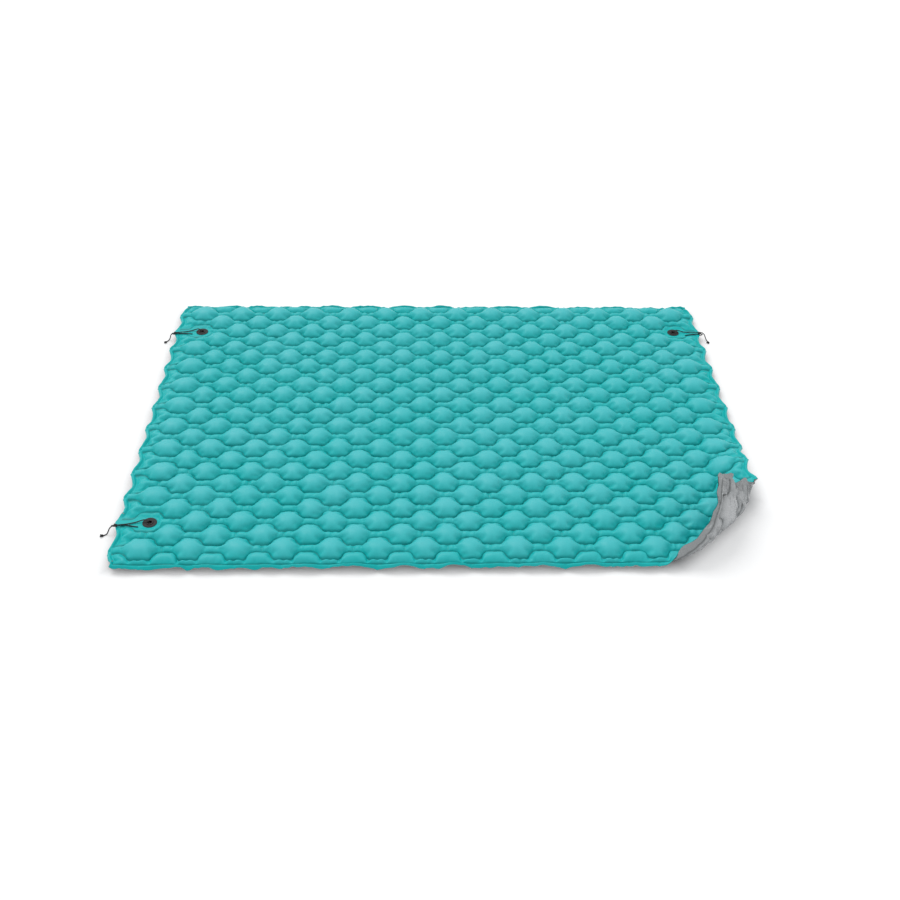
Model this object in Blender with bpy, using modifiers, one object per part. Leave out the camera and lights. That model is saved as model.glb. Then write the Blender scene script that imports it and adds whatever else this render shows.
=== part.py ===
"""Inflatable swim float mat: two welded vinyl sheets, corner grommets with tie cords, and a screw-in air valve.

The two sheets are welded along zigzag seams, so the air stands up between them in rows of six-sided bumps.
The mat lies flat on the ground with one corner curled up and over. Metres, +X to the right, +Y to the back, +Z up.
Heights over the sheets are measured from the plane in which they are welded, up for the top and down for the bottom.
"""
import math

import bmesh
import bpy
from mathutils import Matrix, Vector

# Bumps and seams
BUMPS_ACROSS = 14          # bumps in an odd row, counted from the front
FULL_ROWS = 23             # with a row of half bumps before and behind
BUMP_PITCH = 0.200
ROW_PITCH = 0.087
SEAM_SWING = 0.021         # how far a seam swings to each side of its mean line
TOP_CROWN = 0.040
BOTTOM_CROWN = 0.034
EDGE_BUMP_SHARE = 0.6      # height of a bump that the hem cuts, of a full one
WELD_GAP = 0.0003
FILM = 0.0004

# Hem round the bumps
SIDE_HEM = 0.050
END_HEM = 0.021
HEM_SCALLOP = 0.012        # how far the side hem draws in beside each odd row

# Curled corner, at the front right
CURL_HEADING = math.radians(45)    # from +X towards the front, square to the fold
CURL_REACH = 0.379                 # corner to the line where the fold starts
CURL_RADIUS = 0.096                # of the roll in the middle of the fold
CURL_END_RADIUS = 0.030            # where the fold runs out to the two edges
CURL_SKEW = 0.082                  # how much wider the roll gets for each metre towards the front edge
CURL_SPREAD = 0.265                # from the middle of the fold to where the roll is at its tightest
CURL_TURN = math.radians(125)
CURL_STRIP = 0.045                 # width of the flat strips that make up the roll
CURL_PANEL = 0.130                 # and their length along the fold
SLACK_CROWN_SHARE = 0.22           # height of the bumps in the curl, of a full one
SLACK_RUN = 0.050                  # how far before the fold the bumps start to sink

# Resting pads under the mat: every bump of this grid is pressed flat on the ground
PAD_EVERY_ROWS = 6
PAD_EVERY_BUMPS = 4
PAD_PRESS = 0.009

# Grommets, in the end bumps of one row near each end
GROMMET_ROW = 3                    # from the front, and from the back
PATCH_RADIUS = 0.036               # welded disc that carries the eyelet
PATCH_THICKNESS = 0.0012
PATCH_PROUD = 0.00005              # of the weld plane, so that the disc keeps its own flat in the curl
PATCH_BLEND = 0.034                # ring round the patch over which it runs into the curl
PATCH_SIDES = 16
EYELET_BORE_RADIUS = 0.010
EYELET_WALL = 0.002
EYELET_FLANGE_RADIUS = 0.032
EYELET_FLANGE = 0.0022
EYELET_BEAD_RADIUS = 0.0165
EYELET_BEAD = 0.0045
EYELET_EDGE = 0.0007
WASHER_RADIUS = 0.029
WASHER = 0.0020
LIP = 0.0018
LIP_REACH = 0.0016
EYELET_STEPS = 20
CLEARANCE = 0.0003

# Tie cords
CORD_RADIUS = 0.002
CORD_STEP = 0.011
CORD_FINE = 24                     # steps between two route points, to measure along the cord

# Air valve, welded into one bump on the underside
VALVE_ROW = 19
VALVE_COLUMN = 3
VALVE_STAND = 0.010                # weld plane to the flat on which the base is welded
VALVE_SEAT_RADIUS = 0.036
VALVE_FOOT_RADIUS = 0.052
BASE_FLANGE_RADIUS = 0.032
BASE_FLANGE = 0.0020
BASE_BORE_RADIUS = 0.0175
BASE_WALL = 0.0030
NECK_WALL = 0.0040
NECK_DROP = 0.0057
THROAT_RISE = 0.0085
SEAL_HEIGHT = 0.0014
SEAL_WIDTH = 0.0028
SEAL_EDGE = 0.0004
RIM_OVERHANG = 0.0070              # bore of the base to the collar's rim
RIM_THICKNESS = 0.0025
RIM_NOTCHES = 12
RIM_NOTCH_RADIUS = 0.0026
RIM_NOTCH_DEPTH = 0.0011
COLLAR_WALL = 0.0042
COLLAR_RISE = 0.0150               # underside of the rim to the collar's inner end
WEB_RISE = 0.0050                  # underside of the rim to the web that the flap closes
WEB_THICKNESS = 0.0015
PLUG_BORE_RADIUS = 0.0095
PORT_RADIUS = 0.0070
FLAP_OVERLAP = 0.0015              # how far the flap covers the web round its port
FLAP_THICKNESS = 0.0008
FLAP_TAB_WIDTH = 0.0060
FLAP_TAB_REACH = 0.0012
ANCHOR_LENGTH = 0.0022
ANCHOR_HEIGHT = 0.0020
PEG_RADIUS = 0.0008
CAP_RADIUS = 0.0150
CAP_THICKNESS = 0.0030
CAP_GROOVE = 0.0013
CAP_LIP = 0.0008                   # each side of the groove
PLUG_WALL = 0.0016
PLUG_RISE = 0.0043
TAB_LENGTH = 0.0075
TAB_WIDTH = 0.0080
LEASH = 0.0010
LEASH_WIDTH = 0.0060
LEASH_RING_WALL = 0.0030
LEASH_ROOM = 0.0010                # leash ring to the neck that it rides on
LEASH_STAND = 0.0005               # leash to the collar's rim
VALVE_STEPS = 28

OVERRUN = 0.004                    # how far a cutter runs past what it cuts
MERGE = 0.00002
TINY = 0.000001

# Derived places
CELLS_WIDTH = BUMPS_ACROSS * BUMP_PITCH
CELLS_DEPTH = (FULL_ROWS + 1) * ROW_PITCH
WIDTH = CELLS_WIDTH + 2 * SIDE_HEM
DEPTH = CELLS_DEPTH + 2 * END_HEM
MID_HEIGHT = BOTTOM_CROWN          # ground to weld plane
UNDERSIDE = WELD_GAP / 2
FILM_TOP = UNDERSIDE + FILM
PATCH_TOP = FILM_TOP + PATCH_THICKNESS
CORNER = Vector((WIDTH / 2, -DEPTH / 2))
CURL_ACROSS = Vector((math.cos(CURL_HEADING), -math.sin(CURL_HEADING)))
CURL_ALONG = Vector((math.sin(CURL_HEADING), math.cos(CURL_HEADING)))

# Colours from the photograph: colour, roughness, metallic
TEAL = ((0.055, 0.430, 0.435, 1.0), 0.38, 0.0)
SILVER = ((0.330, 0.320, 0.335, 1.0), 0.30, 0.0)
BLACK_PLASTIC = ((0.020, 0.020, 0.022, 1.0), 0.35, 0.0)
GREY_PLASTIC = ((0.060, 0.062, 0.066, 1.0), 0.42, 0.0)
BLACK_CORD = ((0.012, 0.012, 0.013, 1.0), 0.80, 0.0)
CLEAR_RUBBER = ((0.300, 0.310, 0.310, 1.0), 0.45, 0.0)
BLACK_RUBBER = ((0.015, 0.015, 0.015, 1.0), 0.60, 0.0)

# Route of each tie cord: from its loose end on the mat, out over the hem, back underneath, up through the
# grommet, and out again over the hem to the knotted tail on the ground. Places are taken from the grommet's
# centre, outwards, backwards and up from the ground.
CORD_ROUTES = {
    "front_left": [
        (0.046, -0.028, 0.0372), (0.072, -0.023, 0.0372), (0.100, -0.016, 0.0372), (0.136, -0.017, 0.0385),
        (0.157, -0.017, 0.0365), (0.164, -0.011, 0.0290), (0.155, -0.006, 0.0215), (0.130, -0.003, 0.0205),
        (0.090, 0.000, 0.0200), (0.050, 0.001, 0.0210), (0.020, 0.001, 0.0205), (0.0065, 0.000, 0.0255),
        (0.0050, 0.000, 0.0350), (0.0085, 0.002, 0.0450), (0.020, 0.006, 0.0485), (0.036, 0.007, 0.0440),
        (0.060, 0.000, 0.0395), (0.090, -0.010, 0.0395), (0.118, -0.019, 0.0430), (0.140, -0.026, 0.0455),
        (0.158, -0.029, 0.0420), (0.172, -0.029, 0.0290), (0.180, -0.031, 0.0130), (0.190, -0.037, 0.0035),
        (0.201, -0.044, 0.0025), (0.212, -0.050, 0.0022),
    ],
    "back_left": [
        (0.050, -0.022, 0.0372), (0.074, -0.020, 0.0372), (0.104, -0.018, 0.0372), (0.134, -0.017, 0.0385),
        (0.155, -0.013, 0.0365), (0.163, -0.007, 0.0290), (0.154, -0.002, 0.0215), (0.130, 0.001, 0.0205),
        (0.090, 0.001, 0.0200), (0.050, 0.000, 0.0210), (0.020, 0.000, 0.0205), (0.0065, 0.000, 0.0255),
        (0.0050, 0.001, 0.0350), (0.0085, 0.004, 0.0450), (0.020, 0.011, 0.0485), (0.036, 0.013, 0.0440),
        (0.060, 0.006, 0.0395), (0.090, -0.004, 0.0395), (0.116, -0.014, 0.0430), (0.140, -0.023, 0.0455),
        (0.157, -0.026, 0.0420), (0.168, -0.025, 0.0290), (0.173, -0.026, 0.0130), (0.180, -0.033, 0.0035),
        (0.187, -0.044, 0.0025), (0.193, -0.054, 0.0022),
    ],
    "back_right": [
        (0.062, -0.028, 0.0372), (0.084, -0.022, 0.0372), (0.110, -0.017, 0.0372), (0.136, -0.014, 0.0385),
        (0.156, -0.011, 0.0365), (0.164, -0.006, 0.0290), (0.155, -0.002, 0.0215), (0.130, 0.000, 0.0205),
        (0.090, 0.001, 0.0200), (0.050, 0.001, 0.0210), (0.020, 0.000, 0.0205), (0.0065, 0.000, 0.0255),
        (0.0050, 0.001, 0.0350), (0.0085, 0.003, 0.0450), (0.020, 0.008, 0.0485), (0.036, 0.009, 0.0440),
        (0.060, 0.004, 0.0395), (0.090, 0.002, 0.0395), (0.116, -0.004, 0.0430), (0.140, -0.010, 0.0455),
        (0.160, -0.010, 0.0430), (0.175, -0.008, 0.0300), (0.183, -0.010, 0.0130), (0.188, -0.020, 0.0035),
        (0.190, -0.033, 0.0025), (0.191, -0.046, 0.0022),
    ],
}


def clear_scene():
    for obj in list(bpy.data.objects):
        bpy.data.objects.remove(obj, do_unlink=True)


def new_collection(name):
    collection = bpy.data.collections.new(name)
    bpy.context.scene.collection.children.link(collection)
    return collection


def material(name, look):
    colour, roughness, metallic = look
    mat = bpy.data.materials.new(name)
    mat.use_nodes = True
    shader = mat.node_tree.nodes["Principled BSDF"]
    shader.inputs["Base Color"].default_value = colour
    shader.inputs["Roughness"].default_value = roughness
    shader.inputs["Metallic"].default_value = metallic
    return mat


def mesh_object(name, bm, collection, mat=None):
    mesh = bpy.data.meshes.new(name)
    bm.to_mesh(mesh)
    bm.free()
    obj = bpy.data.objects.new(name, mesh)
    collection.objects.link(obj)
    if mat is not None:
        mesh.materials.append(mat)
    return obj


def cutter(obj):
    obj.hide_render = True
    obj.display_type = "WIRE"
    return obj


def boolean(obj, tool, operation):
    modifier = obj.modifiers.new(operation.title(), "BOOLEAN")
    modifier.operation = operation
    modifier.solver = "EXACT"
    modifier.object = tool


def baked(obj):
    """A bmesh of the object as its modifiers leave it, in world space."""
    bpy.context.view_layer.update()
    graph = bpy.context.evaluated_depsgraph_get()
    bm = bmesh.new()
    bm.from_object(obj, graph)
    bm.transform(obj.matrix_world)
    return bm


def turned(name, profile, collection, mat, steps):
    """A turned piece. The profile, radius and height, runs down its outer side."""
    closed = all(radius > 0 for radius, _ in profile)
    bm = bmesh.new()
    verts = [bm.verts.new((radius, 0, height)) for radius, height in profile]
    for first, second in zip(verts, verts[1:] + verts[:1] if closed else verts[1:]):
        bm.edges.new((first, second))
    obj = mesh_object(name, bm, collection, mat)
    screw = obj.modifiers.new("Turn", "SCREW")
    screw.steps = steps
    screw.render_steps = steps
    screw.use_merge_vertices = True
    screw.merge_threshold = MERGE
    screw.use_smooth_shade = True
    return obj


def cylinder(name, radius, low, high, centre, collection, sides, top_radius=None):
    bm = bmesh.new()
    bmesh.ops.create_cone(bm, cap_ends=True, segments=sides, radius1=radius,
                          radius2=radius if top_radius is None else top_radius, depth=high - low)
    bmesh.ops.translate(bm, vec=(0, 0, (low + high) / 2), verts=bm.verts)
    obj = mesh_object(name, bm, collection)
    obj.location = (centre[0], centre[1], 0)
    return obj


def over_flats(radius, sides):
    """Corner radius of a many-sided hole whose flats stand at the given radius."""
    return radius / math.cos(math.pi / sides)


def cell_centre(row, column):
    """Centre of a bump. Rows count from the front and columns from the left, half a pitch each."""
    return Vector((column * BUMP_PITCH / 2 - CELLS_WIDTH / 2, row * ROW_PITCH - CELLS_DEPTH / 2))


def grommet_centres():
    left, right = 1, 2 * BUMPS_ACROSS - 1
    front, back = GROMMET_ROW, FULL_ROWS + 1 - GROMMET_ROW
    return {
        "front_left": cell_centre(front, left), "front_right": cell_centre(front, right),
        "back_left": cell_centre(back, left), "back_right": cell_centre(back, right),
    }


def fold_distance(u, v):
    """How far a point of the flat mat lies past the start of the fold, and how far along the fold."""
    arm = Vector((u, v)) - CORNER
    return arm.dot(CURL_ACROSS) + CURL_REACH, arm.dot(CURL_ALONG)


def roll_radius(along):
    tighter = (CURL_RADIUS - CURL_END_RADIUS) * (along / CURL_SPREAD) ** 2
    return max(CURL_RADIUS - CURL_SKEW * along - tighter, CURL_END_RADIUS)


def curled(u, v, height):
    """Where a point of the flat mat goes, with its height over the weld plane."""
    past, along = fold_distance(u, v)
    if past <= 0:
        return Vector((u, v, MID_HEIGHT + height))
    radius = roll_radius(along)
    angle = min(past / radius, CURL_TURN)
    rest = past - radius * angle
    outwards = radius * math.sin(angle) + rest * math.cos(angle) - height * math.sin(angle)
    upwards = radius * (1 - math.cos(angle)) + rest * math.sin(angle) + height * math.cos(angle)
    foot = Vector((u, v)) + CURL_ACROSS * (outwards - past)
    return Vector((foot.x, foot.y, MID_HEIGHT + upwards))


def patch_frame(centre):
    """Middle and three directions of the flat patch at a grommet: right, back and out of the top sheet."""
    middle = curled(centre.x, centre.y, 0)
    right = (curled(centre.x + FILM, centre.y, 0) - middle).normalized()
    back = curled(centre.x, centre.y + FILM, 0) - middle
    back = (back - right * back.dot(right)).normalized()
    return middle, right, back, right.cross(back)


def placed(u, v, height, corner_patch):
    """The curled place of a point, drawn onto the flat patch of the grommet in the curl."""
    centre, (middle, right, back, out) = corner_patch
    offset = Vector((u, v)) - centre
    share = (offset.length - PATCH_RADIUS) / PATCH_BLEND
    share = min(max(share, 0), 1)
    flat = 1 - share * share * (3 - 2 * share)
    on_patch = middle + right * offset.x + back * offset.y + out * height
    return curled(u, v, height).lerp(on_patch, flat)


def slack(u, v):
    """Share of its height that a bump keeps: full on the flat, and little in the curl."""
    past, _ = fold_distance(u, v)
    run = min(max((past + SLACK_RUN) / SLACK_RUN, 0), 1)
    return 1 + (SLACK_CROWN_SHARE - 1) * run * run * (3 - 2 * run)


def seam_net():
    """The flat net of cells: quads between zigzag seams, half a bump wide."""
    columns, lines = 2 * BUMPS_ACROSS, FULL_ROWS + 2
    bm = bmesh.new()
    bmesh.ops.create_grid(bm, x_segments=columns, y_segments=lines, size=0.5)
    for vert in bm.verts:
        column = round((vert.co.x + 0.5) * columns)
        line = round((vert.co.y + 0.5) * lines)
        vert.co.x = column * BUMP_PITCH / 2 - CELLS_WIDTH / 2
        vert.co.y = (line - lines / 2) * ROW_PITCH
        vert.co.y = min(max(vert.co.y, -CELLS_DEPTH / 2), CELLS_DEPTH / 2)
        vert.co.z = FILM_TOP
        if 0 < line < lines:
            vert.co.y += SEAM_SWING if (column + line) % 2 else -SEAM_SWING
    return bm


def row_and_column(point):
    row = round((point.y + CELLS_DEPTH / 2) / ROW_PITCH)
    column = round((point.x + CELLS_WIDTH / 2) / (BUMP_PITCH / 2))
    return row, column


def raise_bumps(bm, flat_cells):
    """Quads join in pairs into six-sided cells, and each cell rises to a crown."""
    middles = []
    for edge in bm.edges:
        first, second = edge.verts
        across = abs(first.co.x - second.co.x)
        if not edge.is_boundary and across < TINY:
            if sum(row_and_column((first.co + second.co) / 2)) % 2 == 0:
                middles.append(edge)
    bmesh.ops.dissolve_edges(bm, edges=middles)
    raised = [face for face in bm.faces
              if row_and_column(face.calc_center_median()) not in flat_cells]
    for peak in bmesh.ops.poke(bm, faces=raised)["verts"]:
        row, _ = row_and_column(peak.co)
        whole = 0 < row < FULL_ROWS + 1 and abs(peak.co.x) + BUMP_PITCH / 2 < CELLS_WIDTH / 2 + TINY
        peak.co.z = TOP_CROWN if whole else TOP_CROWN * EDGE_BUMP_SHARE


def add_hem(bm):
    """The weld round the bumps, thin at its edge, and drawn in at the sides beside each odd row."""
    rim = [edge for edge in bm.edges if edge.is_boundary]
    made = bmesh.ops.extrude_edge_only(bm, edges=rim)["geom"]
    for vert in made:
        if isinstance(vert, bmesh.types.BMVert):
            vert.co.x *= WIDTH / CELLS_WIDTH
            vert.co.y *= DEPTH / CELLS_DEPTH
            vert.co.z = UNDERSIDE
            side = abs(vert.co.x) > WIDTH / 2 - TINY
            if side and abs(vert.co.y) < DEPTH / 2 - TINY:
                vert.co.x -= math.copysign(HEM_SCALLOP, vert.co.x)
    swells = []
    for edge in bm.edges:
        middle = (edge.verts[0].co + edge.verts[1].co) / 2
        row, _ = row_and_column(middle)
        if edge.is_boundary and abs(middle.x) > CELLS_WIDTH / 2 + TINY and 0 < row < FULL_ROWS + 1 and row % 2 == 0:
            if abs(edge.verts[0].co.x - edge.verts[1].co.x) < TINY:
                swells.append(edge)
    split = bmesh.ops.subdivide_edges(bm, edges=swells, cuts=1)["geom_inner"]
    for vert in split:
        if isinstance(vert, bmesh.types.BMVert):
            vert.co.x = math.copysign(WIDTH / 2, vert.co.x)


def cut_folds(bm):
    """Cuts across and along the curl, so that the sheets can bend there."""
    across, along = CURL_ACROSS.to_3d(), CURL_ALONG.to_3d()
    start = CORNER.to_3d() - across * CURL_REACH
    for number in range(int(CURL_REACH / CURL_STRIP) + 1):
        geometry = bm.verts[:] + bm.edges[:] + bm.faces[:]
        bmesh.ops.bisect_plane(bm, geom=geometry, dist=TINY, plane_no=across,
                               plane_co=start + across * CURL_STRIP * number)
    panels = int(CURL_REACH / CURL_PANEL) + 1
    for number in range(-panels, panels + 1):
        faces = [face for face in bm.faces
                 if all(fold_distance(vert.co.x, vert.co.y)[0] > -2 * TINY for vert in face.verts)]
        edges = {edge for face in faces for edge in face.edges}
        verts = {vert for face in faces for vert in face.verts}
        bmesh.ops.bisect_plane(bm, geom=list(verts) + list(edges) + faces, dist=TINY, plane_no=along,
                               plane_co=start + along * CURL_PANEL * number)


def close_underside(bm):
    """Closes the half on the weld plane. In the curl the underside has the same facets as the film over it, so that
    the two stay the same distance apart when the sheet bends, and everywhere else it is one flat face."""
    bending = [face for face in bm.faces
               if all(fold_distance(vert.co.x, vert.co.y)[0] > -2 * TINY for vert in face.verts)]
    for item in bmesh.ops.duplicate(bm, geom=bending)["geom"]:
        if isinstance(item, bmesh.types.BMVert):
            item.co.z = UNDERSIDE
    bmesh.ops.remove_doubles(bm, verts=[vert for vert in bm.verts if vert.is_boundary], dist=TINY)
    bmesh.ops.edgeloop_fill(bm, edges=[edge for edge in bm.edges if edge.is_boundary])


def flat_half(cutters):
    """Upper half of the mat laid flat: film, bumps, hem and the welded discs for the grommets."""
    centres = grommet_centres()
    bm = seam_net()
    raise_bumps(bm, {row_and_column(centre) for centre in centres.values()})
    add_hem(bm)
    cut_folds(bm)
    bmesh.ops.triangulate(bm, faces=bm.faces)
    close_underside(bm)
    bmesh.ops.recalc_face_normals(bm, faces=bm.faces)
    half = mesh_object("flat_half", bm, cutters)
    for corner, centre in centres.items():
        patch = cylinder(f"patch_{corner}", PATCH_RADIUS, UNDERSIDE - PATCH_PROUD, PATCH_TOP, centre, cutters,
                         PATCH_SIDES)
        boolean(half, cutter(patch), "UNION")
    for corner, centre in centres.items():
        hole = cylinder(f"hole_{corner}", over_flats(EYELET_BORE_RADIUS + EYELET_WALL + CLEARANCE, PATCH_SIDES),
                        -OVERRUN, PATCH_TOP + OVERRUN, centre, cutters, PATCH_SIDES)
        boolean(half, cutter(hole), "DIFFERENCE")
    bm = baked(half)
    bmesh.ops.triangulate(bm, faces=bm.faces)
    cutter(half)
    return bm


def bend(bm, side):
    """Lays the flat half out as the mat lies: side is 1 for the top sheet and -1 for the bottom one."""
    centre = grommet_centres()["front_right"]
    corner_patch = centre, patch_frame(centre)
    for vert in bm.verts:
        u, v, height = vert.co
        over = max(height - PATCH_TOP, 0)
        height += over * (slack(u, v) - 1)
        vert.co = placed(u, v, side * height, corner_patch)
    if side < 0:
        bmesh.ops.reverse_faces(bm, faces=bm.faces)
    bm.normal_update()


def build_top_sheet(flat, parts, mat):
    bm = flat.copy()
    bend(bm, 1)
    return mesh_object("top_sheet", bm, parts, mat)


def build_bottom_sheet(flat, parts, cutters, mat):
    """The same net as the top sheet, with flat resting pads and a flat raised seat for the valve."""
    bm = flat.copy()
    valve = cell_centre(VALVE_ROW, VALVE_COLUMN)
    pads = {(row, column) for row in range(GROMMET_ROW, FULL_ROWS, PAD_EVERY_ROWS)
            for column in range(GROMMET_ROW, 2 * BUMPS_ACROSS - 1, 2 * PAD_EVERY_BUMPS)}
    for vert in bm.verts:
        if vert.co.z > PATCH_TOP + TINY:
            vert.co.z *= BOTTOM_CROWN / TOP_CROWN
            if abs(vert.co.z - BOTTOM_CROWN) < TINY:
                if row_and_column(vert.co) == (VALVE_ROW, VALVE_COLUMN):
                    vert.co.z = FILM_TOP
                elif row_and_column(vert.co) in pads:
                    vert.co.z += PAD_PRESS
    geometry = bm.verts[:] + bm.edges[:] + bm.faces[:]
    bmesh.ops.bisect_plane(bm, geom=geometry, dist=TINY, plane_co=(0, 0, BOTTOM_CROWN), plane_no=(0, 0, 1),
                           clear_outer=True)
    bmesh.ops.holes_fill(bm, edges=[edge for edge in bm.edges if edge.is_boundary])
    bmesh.ops.recalc_face_normals(bm, faces=bm.faces)
    sheet = mesh_object("bottom_flat", bm, cutters)
    seat = cylinder("valve_stand", VALVE_FOOT_RADIUS, UNDERSIDE + FILM / 2, VALVE_STAND, valve, cutters,
                    VALVE_STEPS, VALVE_SEAT_RADIUS)
    boolean(sheet, cutter(seat), "UNION")
    throat = over_flats(BASE_BORE_RADIUS + BASE_WALL + CLEARANCE, VALVE_STEPS)
    floor = VALVE_STAND - THROAT_RISE
    pocket = cylinder("valve_pocket", throat, floor, VALVE_STAND + OVERRUN, valve, cutters, VALVE_STEPS)
    boolean(sheet, cutter(pocket), "DIFFERENCE")
    bm = baked(sheet)
    cutter(sheet)
    bmesh.ops.triangulate(bm, faces=bm.faces)
    bend(bm, -1)
    return mesh_object("bottom_sheet", bm, parts, mat)


def build_grommet(corner, centre, parts, flange_mat, washer_mat):
    """A flanged eyelet from above, its barrel spread under a washer on the bottom sheet."""
    seat = PATCH_TOP + CLEARANCE
    bead = seat + EYELET_BEAD
    flange = seat + EYELET_FLANGE
    barrel = EYELET_BORE_RADIUS + EYELET_WALL
    spread = -seat - WASHER - CLEARANCE
    eyelet = turned(f"grommet_flange_{corner}", [
        (EYELET_BORE_RADIUS + EYELET_EDGE, bead),
        (EYELET_BEAD_RADIUS - EYELET_EDGE, bead),
        (EYELET_BEAD_RADIUS, bead - EYELET_EDGE),
        (EYELET_BEAD_RADIUS + EYELET_EDGE, flange),
        (EYELET_FLANGE_RADIUS - EYELET_EDGE, flange),
        (EYELET_FLANGE_RADIUS, flange - EYELET_EDGE),
        (EYELET_FLANGE_RADIUS, seat),
        (barrel, seat),
        (barrel, spread),
        (barrel + LIP_REACH, spread),
        (barrel + LIP_REACH - EYELET_EDGE, spread - LIP),
        (EYELET_BORE_RADIUS + EYELET_EDGE, spread - LIP),
        (EYELET_BORE_RADIUS, spread - LIP + EYELET_EDGE),
        (EYELET_BORE_RADIUS, bead - EYELET_EDGE),
    ], parts, flange_mat, EYELET_STEPS)
    washer = turned(f"grommet_washer_{corner}", [
        (barrel + CLEARANCE, -seat),
        (WASHER_RADIUS, -seat),
        (WASHER_RADIUS, -seat - WASHER + EYELET_EDGE),
        (WASHER_RADIUS - EYELET_EDGE, -seat - WASHER),
        (barrel + CLEARANCE, -seat - WASHER),
    ], parts, washer_mat, EYELET_STEPS)
    middle, right, back, out = patch_frame(centre)
    for piece in (eyelet, washer):
        turn = Matrix((right, back, out)).transposed().to_4x4()
        piece.matrix_world = Matrix.Translation(middle) @ turn


def smooth_route(points, step):
    """Points an even step apart on a smooth curve through the route's own points."""
    knots = [points[0] * 2 - points[1]] + points + [points[-1] * 2 - points[-2]]
    fine = []
    for before, start, end, after in zip(knots, knots[1:], knots[2:], knots[3:]):
        for number in range(CORD_FINE):
            t = number / CORD_FINE
            fine.append((start * 2 + (end - before) * t + (before * 2 - start * 5 + end * 4 - after) * t ** 2
                         + (start * 3 - end * 3 + after - before) * t ** 3) / 2)
    fine.append(points[-1])
    length = sum((b - a).length for a, b in zip(fine, fine[1:]))
    spacing = length / round(length / step)
    route, gone = [fine[0]], 0
    for a, b in zip(fine, fine[1:]):
        gone += (b - a).length
        if gone >= spacing * len(route) - TINY:
            route.append(b)
    return route


def build_cord(corner, centre, parts, mat):
    outwards = math.copysign(1, centre.x)
    points = [Vector((centre.x + outwards * out, centre.y + back, up)) for out, back, up in CORD_ROUTES[corner]]
    route = smooth_route(points, CORD_STEP)
    curve = bpy.data.curves.new(f"tie_cord_{corner}", "CURVE")
    curve.dimensions = "3D"
    curve.bevel_depth = CORD_RADIUS
    curve.bevel_resolution = 2
    curve.use_fill_caps = True
    spline = curve.splines.new("POLY")
    spline.points.add(len(route) - 1)
    for point, place in zip(spline.points, route):
        point.co = (*place, 1)
    curve.materials.append(mat)
    cord = bpy.data.objects.new(curve.name, curve)
    parts.objects.link(cord)


def box(name, low, high, collection, mat=None):
    bm = bmesh.new()
    bmesh.ops.create_cube(bm, size=1)
    size = Vector(high) - Vector(low)
    bmesh.ops.scale(bm, vec=size, verts=bm.verts)
    bmesh.ops.translate(bm, vec=(Vector(high) + Vector(low)) / 2, verts=bm.verts)
    return mesh_object(name, bm, collection, mat)


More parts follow.
